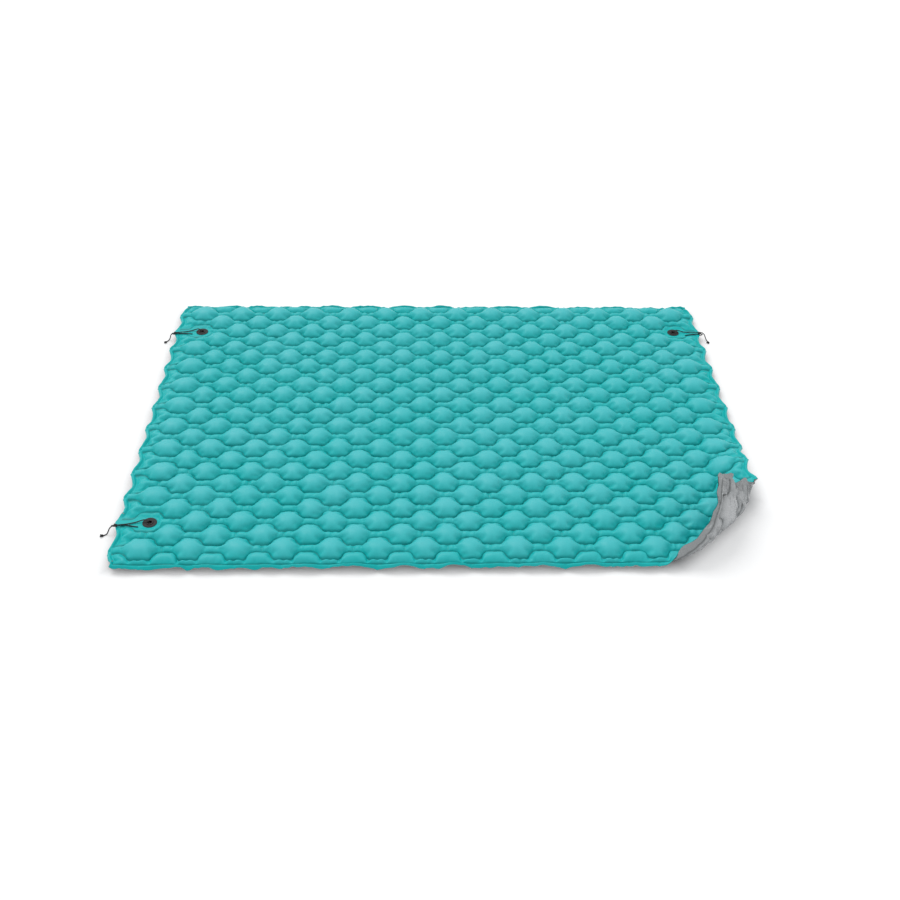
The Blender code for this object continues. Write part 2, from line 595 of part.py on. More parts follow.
def build_valve(parts, cutters):
    """Base welded to the mat, screw-in collar with a one-way flap, and a push-in cap on a leash."""
    axis = cell_centre(VALVE_ROW, VALVE_COLUMN).to_3d()
    flange_top = MID_HEIGHT - VALVE_STAND - CLEARANCE
    flange_under = flange_top - BASE_FLANGE
    neck_radius = BASE_BORE_RADIUS + NECK_WALL
    neck_end = flange_under - NECK_DROP
    rim_radius = BASE_BORE_RADIUS + RIM_OVERHANG
    seal_top = neck_end - CLEARANCE
    seal_under = seal_top - SEAL_HEIGHT
    rim_top = seal_under - CLEARANCE
    rim_under = rim_top - RIM_THICKNESS
    web_under = rim_under + WEB_RISE
    web_top = web_under + WEB_THICKNESS
    collar_radius = BASE_BORE_RADIUS - CLEARANCE
    collar_bore = collar_radius - COLLAR_WALL
    cap_top = rim_under - CLEARANCE
    cap_under = cap_top - CAP_THICKNESS

    base = turned("valve_base", [
        (BASE_BORE_RADIUS, flange_top + THROAT_RISE),
        (BASE_BORE_RADIUS + BASE_WALL, flange_top + THROAT_RISE),
        (BASE_BORE_RADIUS + BASE_WALL, flange_top),
        (BASE_FLANGE_RADIUS, flange_top),
        (BASE_FLANGE_RADIUS, flange_under + BASE_FLANGE / 2),
        (BASE_FLANGE_RADIUS - BASE_FLANGE, flange_under),
        (neck_radius, flange_under),
        (neck_radius, neck_end),
        (BASE_BORE_RADIUS, neck_end),
    ], parts, material("valve_base", GREY_PLASTIC), VALVE_STEPS)

    seal_middle = (BASE_BORE_RADIUS + neck_radius) / 2
    seal = turned("valve_seal", [
        (seal_middle - SEAL_WIDTH / 2 + SEAL_EDGE, seal_top),
        (seal_middle + SEAL_WIDTH / 2 - SEAL_EDGE, seal_top),
        (seal_middle + SEAL_WIDTH / 2, seal_top - SEAL_EDGE),
        (seal_middle + SEAL_WIDTH / 2, seal_under + SEAL_EDGE),
        (seal_middle + SEAL_WIDTH / 2 - SEAL_EDGE, seal_under),
        (seal_middle - SEAL_WIDTH / 2 + SEAL_EDGE, seal_under),
        (seal_middle - SEAL_WIDTH / 2, seal_under + SEAL_EDGE),
        (seal_middle - SEAL_WIDTH / 2, seal_top - SEAL_EDGE),
    ], parts, material("valve_seal", BLACK_RUBBER), VALVE_STEPS)

    collar = turned("valve_collar", [
        (collar_bore, rim_under + COLLAR_RISE),
        (collar_radius, rim_under + COLLAR_RISE),
        (collar_radius, rim_top),
        (rim_radius, rim_top),
        (rim_radius, rim_under),
        (PLUG_BORE_RADIUS, rim_under),
        (PLUG_BORE_RADIUS, web_under),
        (PORT_RADIUS, web_under),
        (PORT_RADIUS, web_top),
        (collar_bore, web_top),
    ], parts, material("valve_collar", GREY_PLASTIC), VALVE_STEPS)
    notch_ring = rim_radius + RIM_NOTCH_RADIUS - RIM_NOTCH_DEPTH
    bm = bmesh.new()
    for number in range(RIM_NOTCHES):
        angle = 2 * math.pi * (number + 0.5) / RIM_NOTCHES
        made = bmesh.ops.create_cone(bm, cap_ends=True, segments=10, radius1=RIM_NOTCH_RADIUS,
                                     radius2=RIM_NOTCH_RADIUS, depth=RIM_THICKNESS + 2 * OVERRUN)["verts"]
        place = (notch_ring * math.cos(angle), notch_ring * math.sin(angle), (rim_top + rim_under) / 2)
        bmesh.ops.translate(bm, vec=place, verts=made)
    notches = cutter(mesh_object("rim_notches", bm, cutters))
    notches.location = axis
    boolean(collar, notches, "DIFFERENCE")

    flap_radius = PORT_RADIUS + FLAP_OVERLAP
    hinge = flap_radius + FLAP_TAB_REACH
    flap_low = web_top + CLEARANCE
    flap = cylinder("valve_flap", flap_radius, -FLAP_THICKNESS / 2, FLAP_THICKNESS / 2, (0, 0), parts, VALVE_STEPS)
    flap.data.transform(Matrix.Translation((-hinge, 0, 0)))
    flap.data.materials.append(material("valve_flap", CLEAR_RUBBER))
    tab = box("flap_tab", (-hinge + PORT_RADIUS, -FLAP_TAB_WIDTH / 2, -FLAP_THICKNESS / 2),
              (0, FLAP_TAB_WIDTH / 2, FLAP_THICKNESS / 2), cutters)
    flap.location = axis + Vector((hinge, 0, flap_low + FLAP_THICKNESS / 2))
    tab.location = flap.location
    boolean(flap, cutter(tab), "UNION")

    anchor_start = hinge + CLEARANCE
    peg_place = anchor_start + ANCHOR_LENGTH / 2
    anchor = box("valve_flap_anchor", (anchor_start, -FLAP_TAB_WIDTH / 2, flap_low),
                 (anchor_start + ANCHOR_LENGTH, FLAP_TAB_WIDTH / 2, flap_low + ANCHOR_HEIGHT), parts,
                 material("valve_flap_anchor", CLEAR_RUBBER))
    peg = cylinder("anchor_peg", PEG_RADIUS, web_under + CLEARANCE, flap_low + ANCHOR_HEIGHT / 2,
                   axis + Vector((peg_place, 0, 0)), cutters, 10)
    anchor.location = axis
    boolean(anchor, cutter(peg), "UNION")
    hole = cylinder("peg_hole", over_flats(PEG_RADIUS + CLEARANCE, 10), web_under - OVERRUN / 4, web_top + OVERRUN / 4,
                    axis + Vector((peg_place, 0, 0)), cutters, 10)
    boolean(collar, cutter(hole), "DIFFERENCE")

    plug_radius = PLUG_BORE_RADIUS - CLEARANCE
    groove_top, groove_under = cap_top - CAP_LIP, cap_under + CAP_LIP
    cap = turned("valve_cap", [
        (0, cap_top - CAP_LIP),
        (plug_radius - PLUG_WALL, cap_top - CAP_LIP),
        (plug_radius - PLUG_WALL, cap_top + PLUG_RISE),
        (plug_radius, cap_top + PLUG_RISE),
        (plug_radius, cap_top),
        (CAP_RADIUS, cap_top),
        (CAP_RADIUS, groove_top),
        (CAP_RADIUS - CAP_GROOVE, groove_top),
        (CAP_RADIUS - CAP_GROOVE, groove_under),
        (CAP_RADIUS, groove_under),
        (CAP_RADIUS, cap_under),
        (0, cap_under),
    ], parts, material("valve_cap", GREY_PLASTIC), VALVE_STEPS)
    thumb = box("thumb_tab", (-CAP_RADIUS - TAB_LENGTH, -TAB_WIDTH / 2, cap_under),
                (-CAP_RADIUS + CAP_GROOVE, TAB_WIDTH / 2, groove_under), cutters)
    thumb.location = axis
    boolean(cap, cutter(thumb), "UNION")

    ring_low, ring_high = groove_under + CLEARANCE, groove_top - CLEARANCE
    small_ring = CAP_RADIUS - CAP_GROOVE + CLEARANCE
    ride_top = flange_under - CLEARANCE
    big_ring = neck_radius + LEASH_ROOM
    reach = rim_radius + LEASH_STAND + LEASH
    leash = turned("valve_cap_leash", [
        (small_ring, ring_high), (small_ring + LEASH_RING_WALL, ring_high),
        (small_ring + LEASH_RING_WALL, ring_low), (small_ring, ring_low),
    ], parts, material("valve_cap_leash", GREY_PLASTIC), VALVE_STEPS)
    ride = turned("leash_ride", [
        (big_ring, ride_top), (reach, ride_top), (reach, ride_top - LEASH), (big_ring, ride_top - LEASH),
    ], cutters, None, VALVE_STEPS)
    strap = box("leash_strap", (small_ring + LEASH_RING_WALL / 2, -LEASH_WIDTH / 2, ring_low),
                (reach, LEASH_WIDTH / 2, ring_high), cutters)
    riser = box("leash_riser", (reach - LEASH, -LEASH_WIDTH / 2, ring_low),
                (reach, LEASH_WIDTH / 2, ride_top - LEASH / 2), cutters)
    for tool in (ride, strap, riser):
        tool.location = axis
    for tool in (strap, riser, ride):
        boolean(leash, cutter(tool), "UNION")

    for piece in (base, seal, collar, cap, leash):
        piece.location = axis


def main():
    clear_scene()
    parts = new_collection("swim_float_mat")
    cutters = new_collection("cutters")
    flat = flat_half(cutters)
    build_top_sheet(flat, parts, material("top_sheet", TEAL))
    build_bottom_sheet(flat, parts, cutters, material("bottom_sheet", SILVER))
    flat.free()
    for corner, centre in grommet_centres().items():
        build_grommet(corner, centre, parts, material(f"grommet_flange_{corner}", BLACK_PLASTIC),
                      material(f"grommet_washer_{corner}", BLACK_PLASTIC))
        if corner in CORD_ROUTES:
            build_cord(corner, centre, parts, material(f"tie_cord_{corner}", BLACK_CORD))
    build_valve(parts, cutters)


main()
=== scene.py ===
"""Looks of the swim float mat: its inflated films, tie cords, eyelets and valve, and the studio."""

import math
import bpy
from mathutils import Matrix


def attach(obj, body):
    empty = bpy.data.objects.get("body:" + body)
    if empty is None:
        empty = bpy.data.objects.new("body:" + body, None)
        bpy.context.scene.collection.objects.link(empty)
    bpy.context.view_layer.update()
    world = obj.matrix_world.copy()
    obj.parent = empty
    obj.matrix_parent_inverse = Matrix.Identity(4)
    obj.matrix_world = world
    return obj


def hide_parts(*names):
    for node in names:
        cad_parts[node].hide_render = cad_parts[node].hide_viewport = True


bl_info = {
    "name": "Swim float mat",
    "version": (1, 0, 0),
    "blender": (4, 5, 0),
    "location": "3D View > Sidebar > Float mat",
    "description": "Inflates and lays out a swim float mat, and adds its cords, fittings and studio",
    "category": "Add Mesh",
}

import bmesh
import bpy
import numpy as np
from bpy.props import FloatProperty, FloatVectorProperty, IntProperty, PointerProperty
from mathutils import Matrix, Vector

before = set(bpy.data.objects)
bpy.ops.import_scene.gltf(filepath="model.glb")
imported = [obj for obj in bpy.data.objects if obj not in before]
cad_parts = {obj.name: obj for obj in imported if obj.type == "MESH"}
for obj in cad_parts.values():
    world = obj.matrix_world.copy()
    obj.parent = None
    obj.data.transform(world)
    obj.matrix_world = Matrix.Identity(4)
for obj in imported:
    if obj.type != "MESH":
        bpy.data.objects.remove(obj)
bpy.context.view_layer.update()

# Half bumps across the mat and rows along it, with a row of half bumps at the front and at the back.
HALF_BUMPS = 28
ROWS = 24
CELLS_PER_HALF_BUMP = 14
CELLS_PER_ROW = 12
SIDE_HEM_CELLS = 5
END_HEM_CELLS = 5

# Row and column of what is welded into the mat in place of a bump.
GROMMETS = {"front_left": (3, 1), "front_right": (3, 27), "back_left": (21, 1), "back_right": (21, 27)}
VALVE_CELL = (19, 3)
TURNED_CORNER = "front_right"

# Round an eyelet and on the valve's seat the film is flat out to the first distance and free past the second.
# In the curl the eyelet's patch blends into the roll. The seat lies this far under the weld plane.
FLAT_RUN = (0.036, 0.054)
PATCH_BLEND = 0.034
VALVE_SEAT_DEPTH = 0.010

# Radii of the holes in the films.
EYELET_HOLE = 0.0145
VALVE_HOLE = 0.0215

# Hand work in the welds: the side's scallops, the ripple of the front and back edge, and how far a weld line
# wanders, which it does less towards the edges and the fittings.
SCALLOP_POWER = 2.2
END_RIPPLE = 0.003
SEAM_WANDER = 0.0045
STEADY_AT_EDGE = (0, 0.12)
STEADY_AT_FITTING = (0.08, 0.18)

# The cut film before it is blown up: how far its cut wanders, and a first rise that gives the air its way.
CUT_WANDER = 0.002
FIRST_RISE = 0.006
CLOTH_SETTINGS = {
    "mass": 0.1,
    "tension_stiffness": 30,
    "compression_stiffness": 30,
    "shear_stiffness": 10,
    "bending_stiffness": 0.02,
    "tension_damping": 5,
    "compression_damping": 5,
    "shear_damping": 5,
    "air_damping": 1,
    "use_pressure": True,
}

# Where a neck begins beside its bumps and is whole, and how wide and how deep the crease across it is.
NECK_RUN = (0.84, 0.98)
PINCH_WIDTH = 0.085
PINCH_DEPTHS = (0.05, 0.7)
PUCKER_DEPTH = 0.11

# Hem: height of its raised lip, its fall towards the edge, and the droop of its last cells.
HEM_LIP = 0.0130
HEM_FALL = 0.002
HEM_DROOP = 0.004
SAG_RUN = (0.015, 0.085)
HELD_BY_CORD = (0.05, 0.13)

# Runs past the start of the fold: of the film going limp, of its creases, of the hem's waves getting quieter
# and of the edge hanging down no longer. By the last distance the bumps have sunk.
LIMP_RUN = (-0.04, 0.06)
CREASE_RUN = (0.0, 0.10)
QUIET_RUN = (-0.05, 0.05)
LEVEL_RUN = (-0.10, 0.02)
SUNK_AT = 0.03

# The films come apart at the hem in the curl. The bottom one rises a little past its crown height, and it and
# the hem's lowest fold stay off the floor.
LIMP_HEM_GAP = 0.0008
BOTTOM_SHARE = 1.04
FLOOR_CLEARANCE = 0.0003
LOWEST_FOLD = 0.004

# An eyelet's welded disc, ring by ring: width as a share of the ring before, and lift in thicknesses.
DISC_RINGS = ((0.9915, 0.75), (0.985, 0.25), (0.62, 0.0), (0.58, 0.0))

# Where the parts of the curl pass into each other: a start and an end, in metres.
END_SWELL_RUN = (0.13, 0.24)
TIP_LEAN_RUN = (-0.09, 0.02)
TIP_LIFT_RUN = (-0.16, 0.0)
SIDE_LIFT_INWARDS = (0.0, 0.26)
SIDE_LIFT_ALONG = (0.0, 0.38)
EYELET_CLEAR = (0.04, 0.16)

# The braid repeats every so many radii along a cord, and its rings are one step apart.
CORD_RADIUS = 0.0025
BRAID_REPEAT = 8
CORD_STEP = 0.0035
ROUTE_STEPS = 24
HEM_KNOT_LOOP = 0.0024
END_KNOT_LOOP = 0.0023
KNOT_POINTS = 64
HEM_KNOT_PAST_EDGE = 0.006
END_KNOT_PAST_CORD = 0.004

# How high a cord's and a knot's middle lie on the floor, in radii of the cord.
CORD_REST = 1.1
KNOT_REST = 2.05

# Heights of a cord's points on the mat: from the stub's cut end along the film and round its edge, under the
# mat to the eyelet, up through it, and along the film again. The fourth and the last are the strands at the
# edge.
CORD_HEIGHTS = (0.0372, 0.0372, 0.0372, 0.0385, 0.0365, 0.0290, 0.0215, 0.0205, 0.0200, 0.0210,
                0.0205, 0.0255, 0.0350, 0.0450, 0.0485, 0.0440, 0.0395, 0.0395, 0.0430, 0.0455)
FIRST_STRAND, SECOND_STRAND = 3, len(CORD_HEIGHTS) - 1

# The same points in metres outwards and back from the eyelet.
CORD_LAYS = {
    "front_left": [
        (0.046, -0.028), (0.072, -0.023), (0.100, -0.016), (0.136, -0.017), (0.157, -0.017), (0.164, -0.011),
        (0.155, -0.006), (0.130, -0.003), (0.090, 0.000), (0.050, 0.001), (0.020, 0.001), (0.0065, 0.000),
        (0.0050, 0.000), (0.0085, 0.002), (0.020, 0.006), (0.036, 0.007), (0.060, 0.000), (0.090, -0.010),
        (0.118, -0.019), (0.140, -0.026),
    ],
    "back_left": [
        (0.050, -0.022), (0.074, -0.020), (0.104, -0.018), (0.134, -0.017), (0.155, -0.013), (0.163, -0.007),
        (0.154, -0.002), (0.130, 0.001), (0.090, 0.001), (0.050, 0.000), (0.020, 0.000), (0.0065, 0.000),
        (0.0050, 0.001), (0.0085, 0.004), (0.020, 0.011), (0.036, 0.013), (0.060, 0.006), (0.090, -0.004),
        (0.116, -0.014), (0.140, -0.023),
    ],
    "back_right": [
        (0.062, -0.028), (0.084, -0.022), (0.110, -0.017), (0.136, -0.014), (0.156, -0.011), (0.164, -0.006),
        (0.155, -0.002), (0.130, 0.000), (0.090, 0.001), (0.050, 0.001), (0.020, 0.000), (0.0065, 0.000),
        (0.0050, 0.001), (0.0085, 0.003), (0.020, 0.008), (0.036, 0.009), (0.060, 0.004), (0.090, 0.002),
        (0.116, -0.004), (0.140, -0.010),
    ],
}

# The tails that hang over the edge down to the floor: outwards, back and up.
CORD_TAILS = {
    "front_left": [
        (0.158, -0.029, 0.0420), (0.170, -0.030, 0.0290), (0.177, -0.033, 0.0140), (0.184, -0.038, 0.0040),
        (0.192, -0.043, 0.0030), (0.200, -0.047, 0.0028),
    ],
    "back_left": [
        (0.157, -0.026, 0.0420), (0.168, -0.025, 0.0290), (0.173, -0.026, 0.0130), (0.180, -0.033, 0.0035),
        (0.187, -0.044, 0.0030), (0.193, -0.054, 0.0028),
    ],
    "back_right": [
        (0.160, -0.010, 0.0430), (0.175, -0.008, 0.0300), (0.183, -0.010, 0.0130), (0.188, -0.020, 0.0035),
        (0.190, -0.033, 0.0030), (0.191, -0.046, 0.0028),
    ],
}

# The photograph's camera, fitted to the mat's edges, hem and eyelets.
CAMERA_PLACE = (-0.154, -4.4545, 3.3166)
CAMERA_YAW, CAMERA_PITCH, CAMERA_ROLL = math.radians(2.51), math.radians(38.07), math.radians(1.458)
CAMERA_SENSOR = 36

# Towards the key light, and the lines inside the mat's sides and ends and past its fold about which the
# floor's glow grows over its run. Where the glow is missing, under the mat and round its edges, the floor is
# darker: a painted shadow of the mat.
KEY_FROM = (-0.35, 0.60, 1.0)
GLOW_INSIDE_SIDE = 0.005
GLOW_INSIDE_END = 0.020
GLOW_PAST_FOLD = 0.050
GLOW_RUN = (-0.05, 0.06)
FLOOR_SIZE = 60


# Sizes and colours that a user can change

def number_setting(name, about, default, **more):
    return FloatProperty(name=name, description=about, default=default, **more)


def length_setting(name, about, default):
    return number_setting(name, about, default, unit="LENGTH")


def share_setting(name, about, default):
    return number_setting(name, about, default, subtype="FACTOR")


def angle_setting(name, about, degrees):
    return number_setting(name, about, math.radians(degrees), subtype="ANGLE")


def colour_setting(name, about, red, green, blue):
    return FloatVectorProperty(name=name, description=about, subtype="COLOR", size=4,
                               default=(red, green, blue, 1.0), min=0, max=1)


class MatSizes(bpy.types.PropertyGroup):
    half_bump: length_setting("Half bump", "Half the spacing of the bumps along a row", 0.1)
    row_pitch: length_setting("Row pitch", "Spacing of the rows of bumps", 0.087)
    seam_swing: length_setting("Seam swing", "How far a weld line swings to each side", 0.0225)
    seam_turn: number_setting("Seam turn", "How abruptly a weld line turns from bump to neck", 3.2)
    neck_rise: length_setting("Neck rise", "How far the necks between the bumps stand up", 0.0185)
    top_crown: length_setting("Top crown", "Height of a full bump over the weld", 0.040)
    bottom_crown: length_setting("Bottom crown", "Depth of a bump under the weld", 0.034)
    side_weld: length_setting("Side weld", "From the field's last column to the side's edge", 0.050)
    side_hem: length_setting("Side hem", "Width of the hem that shows at the sides", 0.021)
    side_scallop: length_setting("Side scallop", "How far a half bump draws the side in", 0.022)
    corner_round: length_setting("Corner rounding", "Radius of the mat's corners", 0.055)
    end_hem: length_setting("End hem", "Width of the flat weld at the front and back", 0.021)
    ruffle: length_setting("Ruffle", "How far the hem waves up and down", 0.0100)
    edge_sag: length_setting("Edge sag", "How far the mat hangs down at its edges", 0.005)
    film: length_setting("Film", "How far a film's outer face lies off the weld plane", 0.0008)
    patch_radius: length_setting("Eyelet patch", "Radius of the welded disc under an eyelet", 0.036)
    patch_thickness: length_setting("Patch thickness", "Thickness of that disc", 0.0008)


class CurlSizes(bpy.types.PropertyGroup):
    heading: angle_setting("Heading", "From the right towards the front, square to the fold", 45)
    reach: length_setting("Reach", "From the corner to where the sheet starts to turn up", 0.379)
    radius: length_setting("Roll radius", "Radius of the roll in the middle of the fold", 0.096)
    end_radius: length_setting("End radius", "Radius where the fold runs out to the edges", 0.030)
    skew: number_setting("Skew", "How much wider the roll gets towards the front edge", 0.082)
    spread: length_setting("Spread", "From the middle of the fold to its tightest roll", 0.265)
    turn: angle_setting("Turn", "How far the corner turns over", 125)
    tip_lift: length_setting("Tip lift", "How far the corner's point stands up past the roll", 0.018)
    tip_back: length_setting("Tip back", "How far the corner's point leans back over the mat", 0.030)
    side_lift: length_setting("Side lift", "How far the side's edge is pulled up beside the roll", 0.088)
    side_pull: share_setting("Side pull", "Share of that lift by which the side is drawn in", 0.45)
    slack_share: share_setting("Slack", "Share of its height that a bump keeps in the curl", 0.40)
    end_swell: length_setting("End swell", "How much wider the film rolls at the side's edge", 0.025)
    crumple: length_setting("Crumple", "Depth of the creases in the slack film", 0.016)
    slack_run: length_setting("Slack run", "Length over which the bumps sink before the fold", 0.050)


class InflationSettings(bpy.types.PropertyGroup):
    spare_across: number_setting("Spare across", "Cut width of the film for each metre laid", 1.09)
    spare_along: number_setting("Spare along", "Cut length of the film for each metre laid", 1.22)
    pressure: number_setting("Pressure", "Air pressure in the bumps", 1500)
    frames: IntProperty(name="Frames", description="Steps of the inflation", default=18)
    settle: IntProperty(name="Settling frames", description="Steps in which the welds take their place",
                        default=10)
    quality: IntProperty(name="Quality", description="Sub-steps of each step", default=4)


class FinishColours(bpy.types.PropertyGroup):
    teal: colour_setting("Teal film", "Colour of the top film", 0.002, 0.485, 0.478)
    # Painted sheen: the lighter colour that the material lays on the top film's crowns, and on random paler
    # patches.
    teal_sheen_and_patches: colour_setting("Teal crowns", "Colour of the top film on the bumps", 0.078, 0.545, 0.575)
    silver: colour_setting("Silver film", "Colour of the bottom film", 0.290, 0.305, 0.312)
    # Painted highlight: the lighter colour that the material lays on the bottom film's crowns, and on random
    # paler patches.
    silver_highlight_and_patches: colour_setting("Silver creases", "Colour of the bottom film's rubs", 0.540, 0.550, 0.560)
    cord: colour_setting("Cord", "Colour of the braided cords", 0.012, 0.012, 0.013)
    black_plastic: colour_setting("Eyelet plastic", "Colour of the eyelets", 0.012, 0.009, 0.010)
    grey_plastic: colour_setting("Valve plastic", "Colour of the valve", 0.060, 0.062, 0.066)
    seal_rubber: colour_setting("Seal rubber", "Colour of the valve's seal", 0.015, 0.015, 0.015)
    flap_rubber: colour_setting("Flap rubber", "Colour of the valve's flap", 0.300, 0.310, 0.310)


class StudioSettings(bpy.types.PropertyGroup):
    floor: colour_setting("Floor", "Colour of the studio floor", 0.75, 0.75, 0.75)
    floor_glow: share_setting("Floor glow", "White that the camera sees added to the floor", 0.33)
    key: number_setting("Key light", "Strength of the large soft light behind the mat", 1.1)
    softness: angle_setting("Softness", "Width of that light, as an angle", 35)
    sky: number_setting("Sky", "Strength of the even light from all round", 0.72)
    backdrop: number_setting("Backdrop", "Brightness of what the camera sees behind the floor", 1.0)
    lens: number_setting("Lens", "Focal length of the camera, in millimetres", 44.52)


# Flat layout, curl and slack of the sheet

def sizes():
    """The mat's sizes as set in the panel."""
    return bpy.context.scene.float_mat_sizes


def field_half():
    """Half the width and half the depth of the inflated field."""
    s = sizes()
    return HALF_BUMPS * s.half_bump / 2, ROWS * s.row_pitch / 2


def cell_centre(cell):
    """Middle of a bump's place on the flat sheet, from its row and its half bump."""
    row, column = cell
    s = sizes()
    across, along = field_half()
    return Vector((column * s.half_bump - across, row * s.row_pitch - along))


def eyelets():
    """Middles of the four eyelets on the flat sheet, by corner."""
    return {where: cell_centre(cell) for where, cell in GROMMETS.items()}


def edge_half():
    """Half the width and half the depth of the whole mat, out to the hem's edge."""
    s = sizes()
    across, along = field_half()
    return across + s.side_weld, along + s.end_hem


def corner():
    """The point of the flat sheet that is turned up."""
    half_width, half_depth = edge_half()
    return np.array((half_width, -half_depth))


def fold_distance(u, v):
    """How far points of the flat sheet lie past the start of the fold, and how far along the fold."""
    curl = bpy.context.scene.float_mat_curl
    right, back = u - corner()[0], v - corner()[1]
    past = right * math.cos(curl.heading) - back * math.sin(curl.heading) + curl.reach
    along = right * math.sin(curl.heading) + back * math.cos(curl.heading)
    return past, along


def past_fold(u, v, low, high):
    """0 before the fold and 1 past it, with a smooth passage between two distances from its start."""
    return smooth_step(fold_distance(u, v)[0], low, high)


def away_from(centre, u, v, run):
    """0 near a point of the flat sheet and 1 away from it, with a smooth passage over a run of distances."""
    return smooth_step(np.hypot(u - centre.x, v - centre.y), *run)


def roll_radius(along):
    """Radius of the roll along the fold: wider to the front, tight at both ends, swelling at the side."""
    curl = bpy.context.scene.float_mat_curl
    tighter = (curl.radius - curl.end_radius) * (along / curl.spread) ** 2
    radius = np.maximum(curl.radius - curl.skew * along - tighter, curl.end_radius)
    return radius + curl.end_swell * smooth_step(along, *END_SWELL_RUN)


def curled(u, v, height):
    """Where points of the flat sheet go when its corner is turned up, with their height over the welds."""
    curl = bpy.context.scene.float_mat_curl
    past, along = fold_distance(u, v)
    radius = roll_radius(along)
    beyond = np.maximum(past, 0)
    angle = np.minimum(beyond / radius, curl.turn)
    rest = beyond - radius * angle
    outwards = radius * np.sin(angle) + rest * np.cos(angle) - height * np.sin(angle)
    upwards = radius * (1 - np.cos(angle)) + rest * np.sin(angle) + height * np.cos(angle)
    lean_from, lean_to = (curl.reach + end for end in TIP_LEAN_RUN)
    shift = outwards - beyond - curl.tip_back * smooth_step(past, lean_from, lean_to)
    lift = side_lift(u, v)
    lift_from, lift_to = (curl.reach + end for end in TIP_LIFT_RUN)
    upwards += lift + curl.tip_lift * smooth_step(past, lift_from, lift_to)
    return np.stack([u + math.cos(curl.heading) * shift - curl.side_pull * lift,
                     v - math.sin(curl.heading) * shift, sizes().bottom_crown + upwards], axis=-1)


def side_lift(u, v):
    """How far the side's edge is pulled up where the roll runs out to it, clear of the eyelet's patch."""
    curl = bpy.context.scene.float_mat_curl
    roll_end = corner()[1] + curl.reach / math.sin(curl.heading)
    inwards = 1 - smooth_step(corner()[0] - u, *SIDE_LIFT_INWARDS)
    beside = 1 - smooth_step(np.abs(v - roll_end), *SIDE_LIFT_ALONG)
    return curl.side_lift * inwards * beside * away_from(eyelets()[TURNED_CORNER], u, v, EYELET_CLEAR)


def patch_frame(centre):
    """Middle and three directions of the flat patch at a grommet: right, back and out of the top film."""
    near = sizes().film
    middle = curled(centre.x, centre.y, 0)
    right = curled(centre.x + near, centre.y, 0) - middle
    right = right / np.linalg.norm(right)
    back = curled(centre.x, centre.y + near, 0) - middle
    back = back - right * back.dot(right)
    back = back / np.linalg.norm(back)
    return middle, right, back, np.cross(right, back)


def placed(u, v, height):
    """The curled place of points, drawn onto the flat patch of the grommet in the curl."""
    centre = eyelets()[TURNED_CORNER]
    middle, right, back, out = patch_frame(centre)
    du, dv = u - centre.x, v - centre.y
    edge = sizes().patch_radius
    flat = (1 - away_from(centre, u, v, (edge, edge + PATCH_BLEND)))[:, None]
    on_patch = middle + du[:, None] * right + dv[:, None] * back + height[:, None] * out
    return curled(u, v, height) * (1 - flat) + on_patch * flat


def smooth_step(value, low, high):
    """0 below the low end, 1 above the high one, and a smooth passage between them."""
    share = np.clip((value - low) / (high - low), 0, 1)
    return share * share * (3 - 2 * share)


def waves(u, v, size, seed):
    """Smooth random relief between about -1 and 1, with humps of about the given size."""
    count = 14
    picker = np.random.default_rng(seed)
    total = np.zeros_like(u)
    for _ in range(count):
        heading, phase = picker.uniform(0, 2 * math.pi, 2)
        pitch = size * picker.uniform(0.7, 1.6)
        total += np.sin((u * math.cos(heading) + v * math.sin(heading)) * 2 * math.pi / pitch + phase)
    return total / math.sqrt(count)


def deselect_all():
    for obj in bpy.context.selected_objects:
        obj.select_set(False)


def add_to_scene(name, data):
    obj = bpy.data.objects.new(name, data)
    bpy.context.scene.collection.objects.link(obj)
    return obj


def mesh_points(mesh):
    points = np.empty(len(mesh.vertices) * 3)
    mesh.vertices.foreach_get("co", points)
    return points.reshape(-1, 3)


# The film's grid

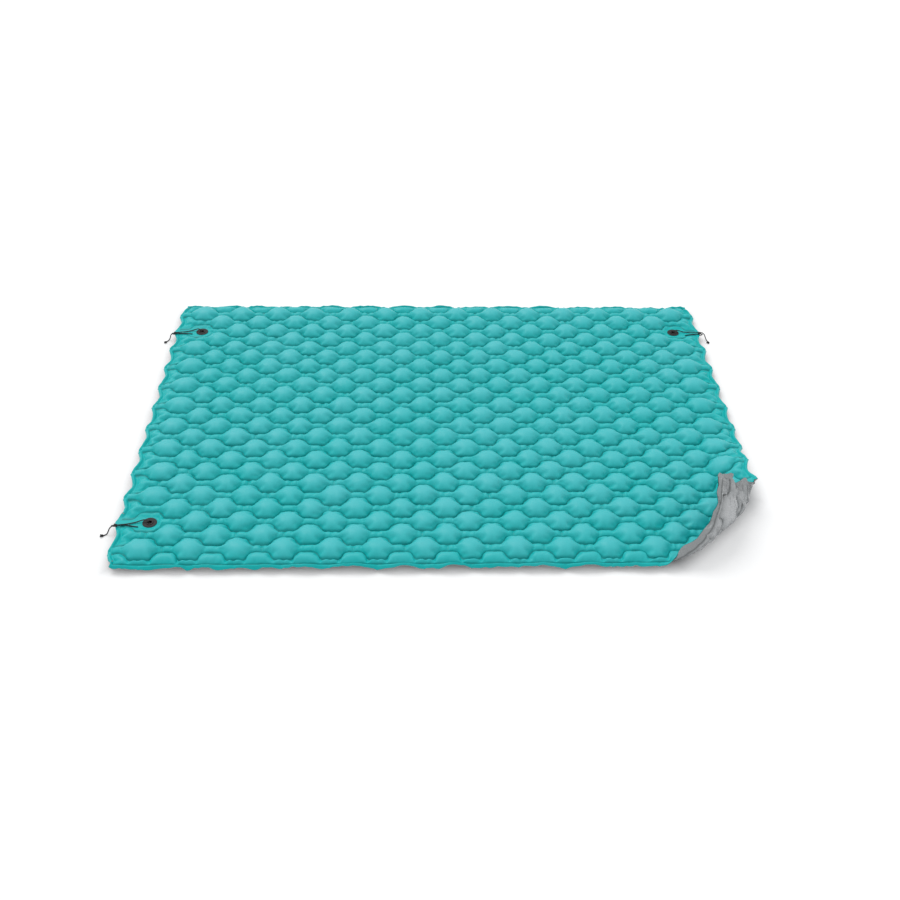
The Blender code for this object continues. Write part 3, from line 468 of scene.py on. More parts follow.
class FilmGrid:
    """Where every point of the film's grid lies on the flat sheet, and which of them are welded."""

    def __init__(self):
        s = sizes()
        self.columns = HALF_BUMPS * CELLS_PER_HALF_BUMP + 2 * SIDE_HEM_CELLS
        self.lines = ROWS * CELLS_PER_ROW + 2 * END_HEM_CELLS
        j, i = np.divmod(np.arange((self.columns + 1) * (self.lines + 1)), self.columns + 1)
        column = (i - SIDE_HEM_CELLS) / CELLS_PER_HALF_BUMP
        row = (j - END_HEM_CELLS) / CELLS_PER_ROW
        inside_column, inside_row = np.clip(column, 0, HALF_BUMPS), np.clip(row, 0, ROWS)
        self.side_share = np.abs(column - inside_column) * CELLS_PER_HALF_BUMP / SIDE_HEM_CELLS
        self.end_share = np.abs(row - inside_row) * CELLS_PER_ROW / END_HEM_CELLS
        seam = np.floor(inside_row - 0.5)
        low, high = self.seam_line(seam, inside_column), self.seam_line(seam + 1, inside_column)
        start, end = np.maximum(seam + 0.5, 0), np.minimum(seam + 1.5, ROWS)
        self.between = np.where(end > start, (inside_row - start) / np.maximum(end - start, 0.001), 0)
        u = inside_column * s.half_bump - field_half()[0]
        v = low + (high - low) * self.between
        middle = HALF_BUMPS / 2
        last = np.clip(np.abs(inside_column - middle) - middle + 1, 0, 1)
        drawn_in = s.side_scallop * (0.5 + 0.5 * np.cos(math.pi * inside_row)) ** SCALLOP_POWER
        reach = last * (s.side_weld - s.side_hem - drawn_in) + self.side_share * s.side_hem
        u += np.sign(inside_column - middle) * reach
        hem = s.end_hem + END_RIPPLE * (waves(u, v * 0, 0.11, seed=5) - 1)
        v += np.sign(row - inside_row) * self.end_share * hem
        self.u, self.v = self.round_corners(*self.warped(u, v))
        self.row, self.column = inside_row, inside_column
        self.bump_row = np.rint(inside_row)
        # Half bumps from a bump's middle: even numbers are bumps and odd ones the necks between them.
        self.from_bump = inside_column - self.bump_row % 2
        self.hem = (self.side_share > 0) | (self.end_share > 0)
        rim = (column <= 0) | (column >= HALF_BUMPS) | (row <= 0) | (row >= ROWS)
        on_seam = (self.between < 0.001) | (self.between > 0.999)
        self.flat = self.eyelet_flats()
        self.welded = rim | on_seam | (self.flat > 0.98)

    def warped(self, u, v):
        """The hand-laid weld lines wander by some millimetres, but not at the edges, eyelets and valve."""
        across, along = field_half()
        share = smooth_step(np.minimum(across - np.abs(u), along - np.abs(v)), *STEADY_AT_EDGE)
        for centre in (*eyelets().values(), cell_centre(VALVE_CELL)):
            for side in (-1, 1):
                share = share * away_from(centre, side * u, v, STEADY_AT_FITTING)
        wander = SEAM_WANDER * share
        return u + wander * waves(u, v, 0.42, seed=51), v + 0.7 * wander * waves(u, v, 0.38, seed=52)

    def round_corners(self, u, v):
        """Points of the mat's square corners drawn in to round ones."""
        half_width, half_depth = edge_half()
        radius = sizes().corner_round
        past_u, past_v = np.abs(u) - half_width + radius, np.abs(v) - half_depth + radius
        inside = (past_u > 0) & (past_v > 0)
        square = np.maximum(past_u, past_v) / np.maximum(np.hypot(past_u, past_v), 0.000001)
        pull = np.where(inside, square, 1)
        return (np.where(inside, np.sign(u) * (half_width - radius + past_u * pull), u),
                np.where(inside, np.sign(v) * (half_depth - radius + past_v * pull), v))

    def seam_line(self, seam, column):
        """How far back a weld line lies at a column: waved, but straight at the front and back edge."""
        s = sizes()
        along = field_half()[1]
        wave = np.cos(math.pi * (column - np.where(seam % 2 == 1, 1, 0)))
        wave = np.tanh(s.seam_turn * wave) / math.tanh(s.seam_turn)
        line = (seam + 0.5) * s.row_pitch - along + s.seam_swing * wave
        return np.clip(np.where(seam < 0, -along, np.where(seam > ROWS - 1, along, line)), -along, along)

    def eyelet_flats(self):
        """1 on the welded patches from the eyelets out to the side, and 0 where the film may rise."""
        flat = np.zeros_like(self.u)
        for centre in eyelets().values():
            inwards = np.where((self.u - centre.x) * centre.x > 0, 0, self.u - centre.x)
            flat = np.maximum(flat, 1 - smooth_step(np.hypot(inwards, self.v - centre.y), *FLAT_RUN))
        return flat

    def mirrored(self, values):
        """Values of the grid's points, swapped left to right."""
        return values.reshape(self.lines + 1, self.columns + 1)[:, ::-1].ravel()


def inflate_film(grid):
    """Film cut larger than its place, welded along the seams and blown up by a cloth simulation."""
    air = bpy.context.scene.float_mat_air
    deselect_all()
    bpy.ops.mesh.primitive_grid_add(x_subdivisions=grid.columns, y_subdivisions=grid.lines, size=1)
    film = bpy.context.object
    film.name = "inflated_film"
    mesh = film.data
    points = mesh_points(mesh)
    order = np.rint((points[:, 1] + 0.5) * grid.lines) * (grid.columns + 1)
    order = (order + np.rint((points[:, 0] + 0.5) * grid.columns)).astype(int)
    rise = np.where(grid.welded, 0, FIRST_RISE * np.sin(math.pi * grid.between))
    laid = np.stack([grid.u, grid.v, rise], axis=1)[order]
    cut = laid * (air.spare_across, air.spare_along, 1)
    cut[:, 0] += CUT_WANDER * waves(laid[:, 0], laid[:, 1], 0.12, seed=3)
    cut[:, 1] += CUT_WANDER * waves(laid[:, 0], laid[:, 1], 0.12, seed=4)
    mesh.vertices.foreach_set("co", cut.ravel())
    film.shape_key_add(name="Basis")
    key = film.shape_key_add(name="laid")
    key.data.foreach_set("co", laid.ravel())
    key.value = 0
    key.keyframe_insert("value", frame=1)
    key.value = 1
    key.keyframe_insert("value", frame=air.settle)
    weld = film.vertex_groups.new(name="weld")
    weld.add([int(n) for n in np.nonzero(grid.welded[order])[0]], 1, "REPLACE")
    cloth = film.modifiers.new("Inflation", "CLOTH")
    cloth.collision_settings.use_collision = False
    cloth.point_cache.frame_start = 1
    cloth.point_cache.frame_end = air.frames + 1
    how = cloth.settings
    how.vertex_group_mass = weld.name
    how.quality = air.quality
    for setting, value in CLOTH_SETTINGS.items():
        setattr(how, setting, value)
    how.uniform_pressure_force = air.pressure
    how.effector_weights.gravity = 0
    for step in range(1, air.frames + 1):
        bpy.context.scene.frame_set(step)
    blown = film.evaluated_get(bpy.context.evaluated_depsgraph_get())
    found = mesh_points(blown.to_mesh())
    blown.to_mesh_clear()
    bpy.context.scene.frame_set(1)
    bpy.data.objects.remove(film, do_unlink=True)
    ordered = np.empty((len(order), 3))
    ordered[order] = found
    return ordered


def neck_share(grid):
    """1 in the necks between the bumps of a row, and 0 in the bumps."""
    return smooth_step(np.abs(np.sin(math.pi * grid.from_bump / 2)), *NECK_RUN) * ~grid.hem


def neck_pinch(grid):
    """How far a neck keeps its height at the crease that crosses it, somewhere near its middle."""
    neck = np.rint((grid.from_bump - 1) / 2)
    offset = 0.16 * waves(neck * 0.37, grid.bump_row * 0.53, 0.9, seed=31)
    depth = np.clip(0.50 + 0.25 * waves(neck * 0.41, grid.bump_row * 0.47, 0.9, seed=32), *PINCH_DEPTHS)
    apart = grid.from_bump - 1 - 2 * neck - offset
    return 1 - depth * np.exp(-(apart / PINCH_WIDTH) ** 2)


def bump_puckers(grid):
    """Creases that run from the weld round a bump towards its crown."""
    bump = np.rint(grid.from_bump / 2)
    across, along = grid.from_bump - 2 * bump, (grid.between - 0.5) * 2
    angle = np.arctan2(along * 0.7, across)
    turn = 2.2 * waves(bump * 0.39, grid.bump_row * 0.51, 0.9, seed=41)
    crease = (0.5 + 0.5 * np.cos(8 * angle + turn)) ** 5
    outwards = np.hypot(across / 0.72, along)
    return crease * smooth_step(outwards, 0.30, 0.80) * (1 - smooth_step(outwards, 0.85, 1.05)) * ~grid.hem


def film_heights(grid, blown):
    """Height of the blown film over the weld plane, with the crowns of the full bumps at 1."""
    crown = (np.abs(np.cos(math.pi * grid.from_bump / 2)) > 0.98)
    crown &= (np.abs(grid.between - 0.5) < 0.08) & (grid.row > 0.6) & (grid.row < ROWS - 0.6)
    s = sizes()
    neck = np.clip(np.sin(math.pi * grid.between), 0, 1) ** 0.5 * neck_pinch(grid) * s.neck_rise / s.top_crown
    share = neck_share(grid)
    height = blown[:, 2] / np.median(blown[crown, 2]) * (1 - share) + neck * share
    height -= PUCKER_DEPTH * bump_puckers(grid) * (1 - share)
    return np.clip(height, 0, 1.2) * (1 - grid.flat)


def hem_relief(grid):
    """How far the hem waves over and under the weld plane. Both films share it."""
    s = sizes()
    share = np.maximum(grid.side_share, grid.end_share)
    at_side = grid.side_share > grid.end_share
    gather = np.abs(np.cos(math.pi * np.where(at_side, grid.row, grid.column) / 2)) ** 0.55
    along = np.where(at_side, grid.v, grid.u)
    wave = (0.9 * (gather - 0.6) + 0.6 * waves(along, along * 0, 0.16, seed=12)
            + 0.7 * (0.5 - np.abs(waves(along, along * 0, 0.080, seed=13))))
    lip = HEM_LIP * (0.25 + 0.75 * gather) * np.sin(math.pi * np.clip(share ** 1.1 * 0.9, 0, 1))
    lip -= HEM_FALL * share
    quiet = 1 - 0.6 * past_fold(grid.u, grid.v, *QUIET_RUN)
    return (s.ruffle * wave * share ** 0.9 + lip) * quiet * (1 - grid.flat) * grid.hem


def edge_droop(grid):
    """How far the mat hangs down near its edges, but not where a cord holds it or in the turned-up corner."""
    half_width, half_depth = edge_half()
    inside = np.minimum(half_width - np.abs(grid.u), half_depth - np.abs(grid.v))
    droop = sizes().edge_sag * (1 - smooth_step(inside, *SAG_RUN))
    droop += HEM_DROOP * np.maximum(grid.side_share, grid.end_share) ** 2
    for centre in eyelets().values():
        beside = np.abs(grid.v - centre.y) + 9 * (grid.u * centre.x < 0)
        droop = droop * smooth_step(beside, *HELD_BY_CORD)
    return -droop * (1 - past_fold(grid.u, grid.v, *LEVEL_RUN))


def film_mesh(name, grid, points, upwards):
    """A mesh of the grid's points, its faces turned out of the mat."""
    corners = np.arange(grid.columns * grid.lines)
    line, column = np.divmod(corners, grid.columns)
    first = line * (grid.columns + 1) + column
    quads = np.stack([first, first + 1, first + grid.columns + 2, first + grid.columns + 1], axis=1)
    if not upwards:
        quads = quads[:, ::-1]
    mesh = bpy.data.meshes.new(name)
    mesh.from_pydata(points.tolist(), [], quads.tolist())
    mesh.update()
    return add_to_scene(name, mesh)


def point_values(obj, name, values):
    """Gives each point of a mesh a value that its material reads."""
    layer = obj.data.attributes.new(name, "FLOAT", "POINT")
    layer.data.foreach_set("value", np.asarray(values, dtype=np.float32))


def cut_round(obj, flat_u, flat_v, centre, radius):
    """Takes the faces out that lie within a radius of a point of the flat sheet."""
    near = np.hypot(flat_u - centre.x, flat_v - centre.y) < radius
    bm = bmesh.new()
    bm.from_mesh(obj.data)
    bm.verts.ensure_lookup_table()
    bmesh.ops.delete(bm, geom=[bm.verts[int(n)] for n in np.nonzero(near)[0]], context="VERTS")
    bm.to_mesh(obj.data)
    bm.free()
    return ~near


def refine(obj, levels):
    """Smooth shading, and a finer mesh where levels are given."""
    obj.data.shade_smooth()
    if not levels:
        return
    subdivision = obj.modifiers.new("Smooth film", "SUBSURF")
    subdivision.levels = levels
    subdivision.render_levels = levels
    deselect_all()
    bpy.context.view_layer.objects.active = obj
    obj.select_set(True)
    bpy.ops.object.modifier_apply(modifier=subdivision.name)
    deselect_all()


# Materials

def feed(tree, socket, value):
    """Joins another node's result to a socket, or sets the socket to a value."""
    if isinstance(value, bpy.types.NodeSocket):
        tree.links.new(value, socket)
    else:
        socket.default_value = value


def math_node(tree, operation, *values):
    """The result of a math node whose inputs are other nodes' results or numbers."""
    node = tree.nodes.new("ShaderNodeMath")
    node.operation = operation
    for socket, value in zip(node.inputs, values):
        feed(tree, socket, value)
    return node.outputs[0]


class Nodes:
    """A new material and short calls that add and join its nodes."""

    def __init__(self, name):
        self.mat = bpy.data.materials.new(name)
        self.mat.use_nodes = True
        self.tree = self.mat.node_tree
        self.shader = self.tree.nodes["Principled BSDF"]

    def add(self, kind, **settings):
        node = self.tree.nodes.new(kind)
        for key, value in settings.items():
            if key in node.inputs:
                node.inputs[key].default_value = value
            else:
                setattr(node, key, value)
        return node

    def join(self, output, node, socket):
        self.tree.links.new(output, node.inputs[socket])

    def shade(self, socket, value):
        feed(self.tree, self.shader.inputs[socket], value)

    def math(self, operation, *values):
        return math_node(self.tree, operation, *values)

    def ramp(self, source, low, high, low_at=0.0, high_at=1.0):
        ramp = self.add("ShaderNodeValToRGB")
        first, last = ramp.color_ramp.elements
        first.position, first.color = low_at, low
        last.position, last.color = high_at, high
        self.join(source, ramp, "Fac")
        return ramp.outputs["Color"]

    def grey(self, source, low, high, low_at=0.0, high_at=1.0):
        return self.ramp(source, (low, low, low, 1), (high, high, high, 1), low_at, high_at)

    def mix(self, share, first, second, blend="MIX"):
        node = self.add("ShaderNodeMix", data_type="RGBA", blend_type=blend)
        for socket, value in ((0, share), (6, first), (7, second)):
            feed(self.tree, node.inputs[socket], value)
        return node.outputs[2]

    def noise(self, scale, detail=2.0, roughness=0.5, distortion=0.0):
        node = self.add("ShaderNodeTexNoise", Scale=scale, Detail=detail, Roughness=roughness,
                        Distortion=distortion)
        self.join(self.place(), node, "Vector")
        return node.outputs["Fac"]

    def place(self):
        found = self.tree.nodes.get("Place")
        if not found:
            found = self.add("ShaderNodeTexCoord")
            found.name = "Place"
        return found.outputs["Object"]

    def attribute(self, name):
        return self.add("ShaderNodeAttribute", attribute_name=name).outputs["Fac"]

    def bump(self, source, distance, strength=1.0, before=None):
        node = self.add("ShaderNodeBump", Strength=strength, Distance=distance)
        self.join(source, node, "Height")
        if before:
            self.join(before, node, "Normal")
        return node.outputs["Normal"]


def film_material(name, colour, sheen_and_patches, roughness, gloss, metallic, crinkle):
    """Coated film: a fine woven scrim under a glossy coat, small wrinkles, a painted sheen that lightens the
    bumps' crowns, and weld lines darkened with painted shade in the grooves and neck creases.
    """
    made = Nodes(name)
    patches = made.noise(5.0, 3.0, 0.55)
    # Painted sheen: the crowns of the bumps get the lighter colour, standing in for the light they catch. A
    # random noise adds paler patches of real tone.
    crown = made.attribute("crown")
    sheen_and_patch_share = made.mix(0.35, crown, made.grey(patches, 0.2, 0.8, 0.35, 0.65))
    base = made.ramp(sheen_and_patch_share, colour, sheen_and_patches, 0.15, 0.95)
    # Painted shade: the weld lines, the grooves beside them and the creases across the necks are darkened
    # towards 0.42 of the colour, partly the welds' own darker colour and partly shade painted in.
    deep = [c * 0.42 for c in colour[:3]] + [1]
    base = made.mix(made.grey(made.attribute("weld"), 0.0, 0.85, 0.20, 0.95), base, tuple(deep))
    specks = made.noise(220.0, 2.0, 0.6)
    base = made.mix(0.10, base, made.mix(1.0, base, made.grey(specks, 0.80, 1.15, 0.35, 0.65), "MULTIPLY"))
    made.shade("Base Color", base)
    rubbed = made.noise(34.0, 4.0, 0.6)
    made.shade("Roughness", made.grey(rubbed, roughness - 0.05, roughness + 0.09, 0.3, 0.7))
    made.shade("Metallic", metallic)
    made.shade("Specular IOR Level", gloss)
    folds = made.bump(made.noise(17.0, 4.0, 0.62, 1.2), crinkle * 4, 0.45)
    wrinkles = made.bump(made.noise(60.0, 3.0, 0.55, 0.6), crinkle, 0.40, folds)
    weaves = []
    for direction in ("X", "Y"):
        weave = made.add("ShaderNodeTexWave", wave_type="BANDS", bands_direction=direction, Scale=160.0,
                         Distortion=0.4)
        made.join(made.place(), weave, "Vector")
        weaves.append(weave.outputs["Fac"])
    made.shade("Normal", made.bump(made.mix(0.5, *weaves), 0.00012, 0.5, wrinkles))
    return made.mat


def moulded_material(name, colour, roughness, grain, gloss):
    """Moulded plastic or rubber, slightly clouded, with a fine grain."""
    made = Nodes(name)
    made.shade("Specular IOR Level", gloss)
    lighter = [min(c * 1.35 + 0.002, 1) for c in colour[:3]] + [1]
    made.shade("Base Color", made.ramp(made.noise(90.0, 3.0), colour, lighter, 0.35, 0.75))
    made.shade("Roughness", made.grey(made.noise(400.0), roughness - 0.05, roughness + 0.08))
    made.shade("Normal", made.bump(made.noise(1500.0), grain, 0.35))
    return made.mat


def braid_material(name, colour):
    """Braided cord: two sets of strands that wind round it, from the tube's own UV map."""
    made = Nodes(name)
    coords = made.add("ShaderNodeUVMap", uv_map="braid")
    apart = made.add("ShaderNodeSeparateXYZ")
    made.join(coords.outputs["UV"], apart, "Vector")
    strands = []
    for winding in (8.0, -8.0):
        along = made.math("ADD", apart.outputs["X"], made.math("MULTIPLY", apart.outputs["Y"], winding))
        strands.append(made.math("PINGPONG", along, 0.5))
    over = made.math("MAXIMUM", *strands)
    lighter = [c * 2.6 + 0.004 for c in colour[:3]] + [1]
    made.shade("Base Color", made.ramp(over, colour, lighter, 0.25, 0.5))
    made.shade("Roughness", 0.82)
    made.shade("Normal", made.bump(over, 0.0011, 0.7, made.bump(made.noise(2600.0), 0.0003, 0.3)))
    return made.mat


# Cords

def smooth_route(points, step):
    """Points an even step apart on a smooth curve through the route's own points."""
    knots = [points[0] * 2 - points[1]] + points + [points[-1] * 2 - points[-2]]
    fine = []
    for before, start, end, after in zip(knots, knots[1:], knots[2:], knots[3:]):
        for number in range(ROUTE_STEPS):
            t = number / ROUTE_STEPS
            fine.append((start * 2 + (end - before) * t + (before * 2 - start * 5 + end * 4 - after) * t ** 2
                         + (start * 3 - end * 3 + after - before) * t ** 3) / 2)
    fine.append(points[-1])
    length = sum((b - a).length for a, b in zip(fine, fine[1:]))
    spacing = length / round(length / step)
    route, gone = [fine[0]], 0
    for a, b in zip(fine, fine[1:]):
        gone += (b - a).length
        if gone >= spacing * len(route) - 0.000001:
            route.append(b)
    return route


def tube(name, path, radius, sides=12, closed=False):
    """A round tube along a path, with a UV map in repeats of the braid along it and one turn round it."""
    count = len(path)
    turns = [2 * math.pi * k / sides for k in range(sides)]
    bm = bmesh.new()
    uv = bm.loops.layers.uv.new("braid")
    normal, rings, gone = None, [], [0.0]
    for number, point in enumerate(path):
        after = path[(number + 1) % count] if closed else path[min(number + 1, count - 1)]
        before = path[number - 1] if closed or number else path[0]
        along = (after - before).normalized()
        if normal is None:
            normal = along.orthogonal().normalized()
        normal = (normal - along * normal.dot(along)).normalized()
        side = along.cross(normal)
        rings.append([bm.verts.new(point + normal * (math.cos(turn) * radius)
                                   + side * (math.sin(turn) * radius)) for turn in turns])
        if number:
            gone.append(gone[-1] + (point - path[number - 1]).length)
    for number in range(count if closed else count - 1):
        first, second = rings[number], rings[(number + 1) % count]
        near = gone[number]
        far = gone[number + 1] if number + 1 < count else near + (path[0] - path[-1]).length
        for k in range(sides):
            nxt = (k + 1) % sides
            face = bm.faces.new((first[k], first[nxt], second[nxt], second[k]))
            for loop, place in zip(face.loops, ((near, k), (near, k + 1), (far, k + 1), (far, k))):
                loop[uv].uv = (place[0] / (BRAID_REPEAT * radius), place[1] / sides)
    if not closed:
        bm.faces.new(reversed(rings[0]))
        bm.faces.new(rings[-1])
    bmesh.ops.recalc_face_normals(bm, faces=bm.faces)
    mesh = bpy.data.meshes.new(name)
    bm.to_mesh(mesh)
    bm.free()
    mesh.shade_smooth()
    return add_to_scene(name, mesh)


def overhand_knot(name, middle, along, radius, loop):
    """A tight three-lobed knot with its flat side up."""
    along = Vector((along.x, along.y, 0)).normalized()
    side = Vector((-along.y, along.x, 0))
    path = []
    for number in range(KNOT_POINTS):
        t = 2 * math.pi * number / KNOT_POINTS
        path.append(middle + along * ((math.sin(t) + 2 * math.sin(2 * t)) * loop)
                    + side * ((math.cos(t) - 2 * math.cos(2 * t)) * loop)
                    - Vector((0, 0, math.sin(3 * t) * radius * 0.98)))
    return tube(name, path, radius, 10, closed=True)


class FLOATMAT_OT_tie_cords(bpy.types.Operator):
    """Lays the three braided tie cords through their eyelets and knots them"""

    bl_idname = "float_mat.tie_cords"
    bl_label = "Tie cords"

    def execute(self, context):
        braid = braid_material("braided_cord", tuple(context.scene.float_mat_colours.cord))
        radius = CORD_RADIUS
        for where, lays in CORD_LAYS.items():
            centre = eyelets()[where]
            way = math.copysign(1, centre.x)
            route = [(*lay, up) for lay, up in zip(lays, CORD_HEIGHTS)] + CORD_TAILS[where]
            points = [Vector((centre.x + way * out, centre.y + back, up)) for out, back, up in route]
            path = smooth_route(points, CORD_STEP)
            for point in path:
                point.z = max(point.z, radius * CORD_REST)
            cord = tube(f"braided_cord_{where}", path, radius)
            tie = points[SECOND_STRAND].lerp(points[FIRST_STRAND], 0.45)
            tie += Vector((way * HEM_KNOT_PAST_EDGE, 0, 0))
            strand = points[SECOND_STRAND] - points[SECOND_STRAND - 1]
            hem_knot = overhand_knot(f"hem_knot_{where}", tie, strand, radius, HEM_KNOT_LOOP)
            tail = points[-1] - points[-2]
            end = points[-1] + tail.normalized() * END_KNOT_PAST_CORD
            end.z = radius * KNOT_REST
            end_knot = overhand_knot(f"end_knot_{where}", end, tail, radius, END_KNOT_LOOP)
            for piece in (cord, hem_knot, end_knot):
                piece.data.materials.append(braid)
                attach(piece, "mat")
            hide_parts(f"tie_cord_{where}")
        return {"FINISHED"}


# The two films

FILM_STORE = {}


class FLOATMAT_OT_inflate(bpy.types.Operator):
    """Welds the film along its seams and blows up the bumps between them"""

    bl_idname = "float_mat.inflate"
    bl_label = "Inflate the bumps"

    def execute(self, context):
        grid = FilmGrid()
        blown = inflate_film(grid)
        FILM_STORE.update(grid=grid, blown=blown, height=film_heights(grid, blown),
                          relief=hem_relief(grid) + edge_droop(grid))
        return {"FINISHED"}


def slack(u, v):
    """Share of its height that a bump keeps: all of it on the flat mat, and less in the curl."""
    curl = bpy.context.scene.float_mat_curl
    return 1 + (curl.slack_share - 1) * past_fold(u, v, -curl.slack_run, SUNK_AT)


def curl_creases(u, v):
    """Creases that the slack film takes in the curl: long flutes beside the welds, and short crumples."""
    inside = past_fold(u, v, *CREASE_RUN)
    flute = 1 - np.abs(waves(u * 0.10 + 0.15 * v, v, 0.095, seed=21))
    crumple = 1 - np.abs(waves(u * 0.40 + 0.3 * v, v, 0.045, seed=22))
    return inside * bpy.context.scene.float_mat_curl.crumple * (1.2 * (flute - 0.4) + 0.45 * (crumple - 0.4))


def weld_and_crease_shade(grid, side):
    """1 on the weld lines, falling to 0 within a few millimetres, also high in the creases across the necks
    and a quarter on the hem. The material darkens these places: the welds' own darker colour together with
    painted shade in the grooves and creases.
    """
    near = np.minimum(grid.between, 1 - grid.between) * 2
    weld = np.where(grid.hem, 0.25, np.clip(1 - near * 3.2, 0, 1))
    # The creases across the necks join in, to be darkened as painted shade.
    weld = np.maximum(weld, np.clip(0.8 * (1 - neck_pinch(grid)), 0, 1) * neck_share(grid))
    return weld if side > 0 else grid.mirrored(weld)


def make_film(name, side, material, levels):
    """side is 1 for the top film and -1 for the bottom one, which is the same inflation mirrored."""
    s = sizes()
    grid, blown, height, relief = (FILM_STORE[key] for key in ("grid", "blown", "height", "relief"))
    u, v = blown[:, 0], blown[:, 1]
    if side < 0:
        u, v, height = -grid.mirrored(u), grid.mirrored(v), grid.mirrored(height)
    settled = np.maximum(grid.hem, neck_share(grid))
    u = grid.u * settled + u * (1 - settled)
    v = grid.v * settled + v * (1 - settled)
    crown = np.clip(height, 0, 1.1)
    tubes = 0.45 * height + 0.40 * np.sqrt(np.clip(np.sin(math.pi * grid.between), 0, 1)) * ~grid.hem
    limp = past_fold(u, v, *LIMP_RUN) * (1 - grid.flat)
    height = height * (1 - limp) + tubes * limp
    rise = height * (s.top_crown if side > 0 else s.bottom_crown * BOTTOM_SHARE)
    rise = np.maximum(rise * slack(u, v), 0) + s.film + LIMP_HEM_GAP * limp * grid.hem
    both = np.maximum(relief, LOWEST_FOLD - s.bottom_crown) + curl_creases(u, v) * (1 - grid.flat)
    holes = [(centre, EYELET_HOLE) for centre in eyelets().values()]
    if side < 0:
        valve = cell_centre(VALVE_CELL)
        seat = away_from(valve, u, v, FLAT_RUN)
        rise = rise * seat + VALVE_SEAT_DEPTH * (1 - seat)
        rise = np.minimum(rise, s.bottom_crown + np.minimum(both, 0) - FLOOR_CLEARANCE)
        holes.append((valve, VALVE_HOLE))
    obj = film_mesh(name, grid, placed(u, v, side * rise + both), side > 0)
    # The crown values make the material paint the bumps' crowns lighter, a painted sheen.
    point_values(obj, "crown", crown)
    # The weld values darken the weld lines and neck creases, partly the welds' own colour and partly painted
    # shade.
    point_values(obj, "weld", weld_and_crease_shade(grid, side))
    for centre, radius in holes:
        kept = cut_round(obj, u, v, centre, radius)
        u, v = u[kept], v[kept]
    refine(obj, levels)
    obj.data.materials.append(material)
    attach(obj, "mat")
    return obj


def weld_disc(name, centre, side, material):
    """The stiffened disc of film round an eyelet, with a rounded edge."""
    s = sizes()
    deselect_all()
    bpy.ops.mesh.primitive_circle_add(vertices=48, radius=s.patch_radius, fill_type="NOTHING")
    disc = bpy.context.object
    disc.name = name
    bpy.ops.object.mode_set(mode="EDIT")
    bpy.ops.mesh.select_all(action="SELECT")
    for width, lift in DISC_RINGS:
        bpy.ops.mesh.extrude_region_move(
            TRANSFORM_OT_translate={"value": (0, 0, lift * s.patch_thickness)})
        bpy.ops.transform.resize(value=(width, width, 1))
    bpy.ops.object.mode_set(mode="OBJECT")
    points = mesh_points(disc.data)
    height = (points[:, 2] + s.film) * side
    middle, right, back, out = patch_frame(centre)
    laid = middle + points[:, :1] * right + points[:, 1:2] * back + height[:, None] * out
    disc.data.vertices.foreach_set("co", laid.ravel())
    bm = bmesh.new()
    bm.from_mesh(disc.data)
    bmesh.ops.recalc_face_normals(bm, faces=bm.faces)
    top = max(bm.faces, key=lambda face: face.calc_area())
    if top.normal.dot(Vector(out * side)) < 0:
        bmesh.ops.reverse_faces(bm, faces=bm.faces)
    bm.to_mesh(disc.data)
    bm.free()
    disc.data.shade_smooth()
    disc.data.materials.append(material)
    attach(disc, "mat")
    return disc


def lay_film(kind, side, material, levels):
    """One of the two films, with its welded discs round the eyelets."""
    film = make_film(f"{kind}_film", side, material, levels)
    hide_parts(f"{kind}_sheet")
    for where, centre in eyelets().items():
        disc = weld_disc(f"{kind}_patch_{where}", centre, side, material)


class FLOATMAT_OT_top_film(bpy.types.Operator):
    """Lays the teal film over the bumps, with its hem and its turned-up corner"""

    bl_idname = "float_mat.top_film"
    bl_label = "Top film"

    def execute(self, context):
        colours = context.scene.float_mat_colours
        teal = film_material("teal_film", tuple(colours.teal), tuple(colours.teal_sheen_and_patches),
                             roughness=0.42, gloss=0.22, metallic=0.0, crinkle=0.0012)
        lay_film("top", 1, teal, levels=1)
        return {"FINISHED"}


class FLOATMAT_OT_bottom_film(bpy.types.Operator):
    """Lays the silver film under the bumps, flat where it rests on the ground and round the valve"""

    bl_idname = "float_mat.bottom_film"
    bl_label = "Bottom film"

    def execute(self, context):
        colours = context.scene.float_mat_colours
        silver = film_material("silver_film", tuple(colours.silver), tuple(colours.silver_highlight_and_patches),
                               roughness=0.25, gloss=0.50, metallic=0.50, crinkle=0.0065)
        lay_film("bottom", -1, silver, levels=0)
        return {"FINISHED"}


def dress(start, material):
    """Gives a material to the solids whose names start so."""
    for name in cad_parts:
        if not name.startswith(start):
            continue
        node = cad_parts[name]
        if not node.material_slots:
            node.data.materials.append(material)
        for place in node.material_slots:
            place.material = material


class FLOATMAT_OT_fittings(bpy.types.Operator):
    """Finishes the eyelets, their washers and the inflation valve"""

    bl_idname = "float_mat.fittings"
    bl_label = "Eyelets and valve"

    def execute(self, context):
        colours = context.scene.float_mat_colours
        hard = ("valve_base", "valve_collar", "valve_cap")
        for finish, pieces, colour, roughness, grain, gloss in (
            ("eyelet_plastic", "grommet_", colours.black_plastic, 0.50, 0.00005, 0.25),
            ("valve_plastic", hard, colours.grey_plastic, 0.42, 0.00008, 0.5),
            ("seal_rubber", "valve_seal", colours.seal_rubber, 0.60, 0.00006, 0.4),
            ("flap_rubber", "valve_flap", colours.flap_rubber, 0.45, 0.00004, 0.5),
        ):
            dress(pieces, moulded_material(finish, tuple(colour), roughness, grain, gloss))
        dress("tie_cord_", braid_material("cord_under_cover", tuple(colours.cord)))
        dress("top_sheet", bpy.data.materials["teal_film"])
        dress("bottom_sheet", bpy.data.materials["silver_film"])
        return {"FINISHED"}


# Studio

def soft_light(name, strength, softness, direction):
    """A distant light as wide as the given angle, that shines from a direction."""
    light = bpy.data.lights.new(name, "SUN")
    light.energy = strength
    light.angle = softness
    add_to_scene(name, light).rotation_euler = (-Vector(direction)).to_track_quat("-Z", "Y").to_euler()


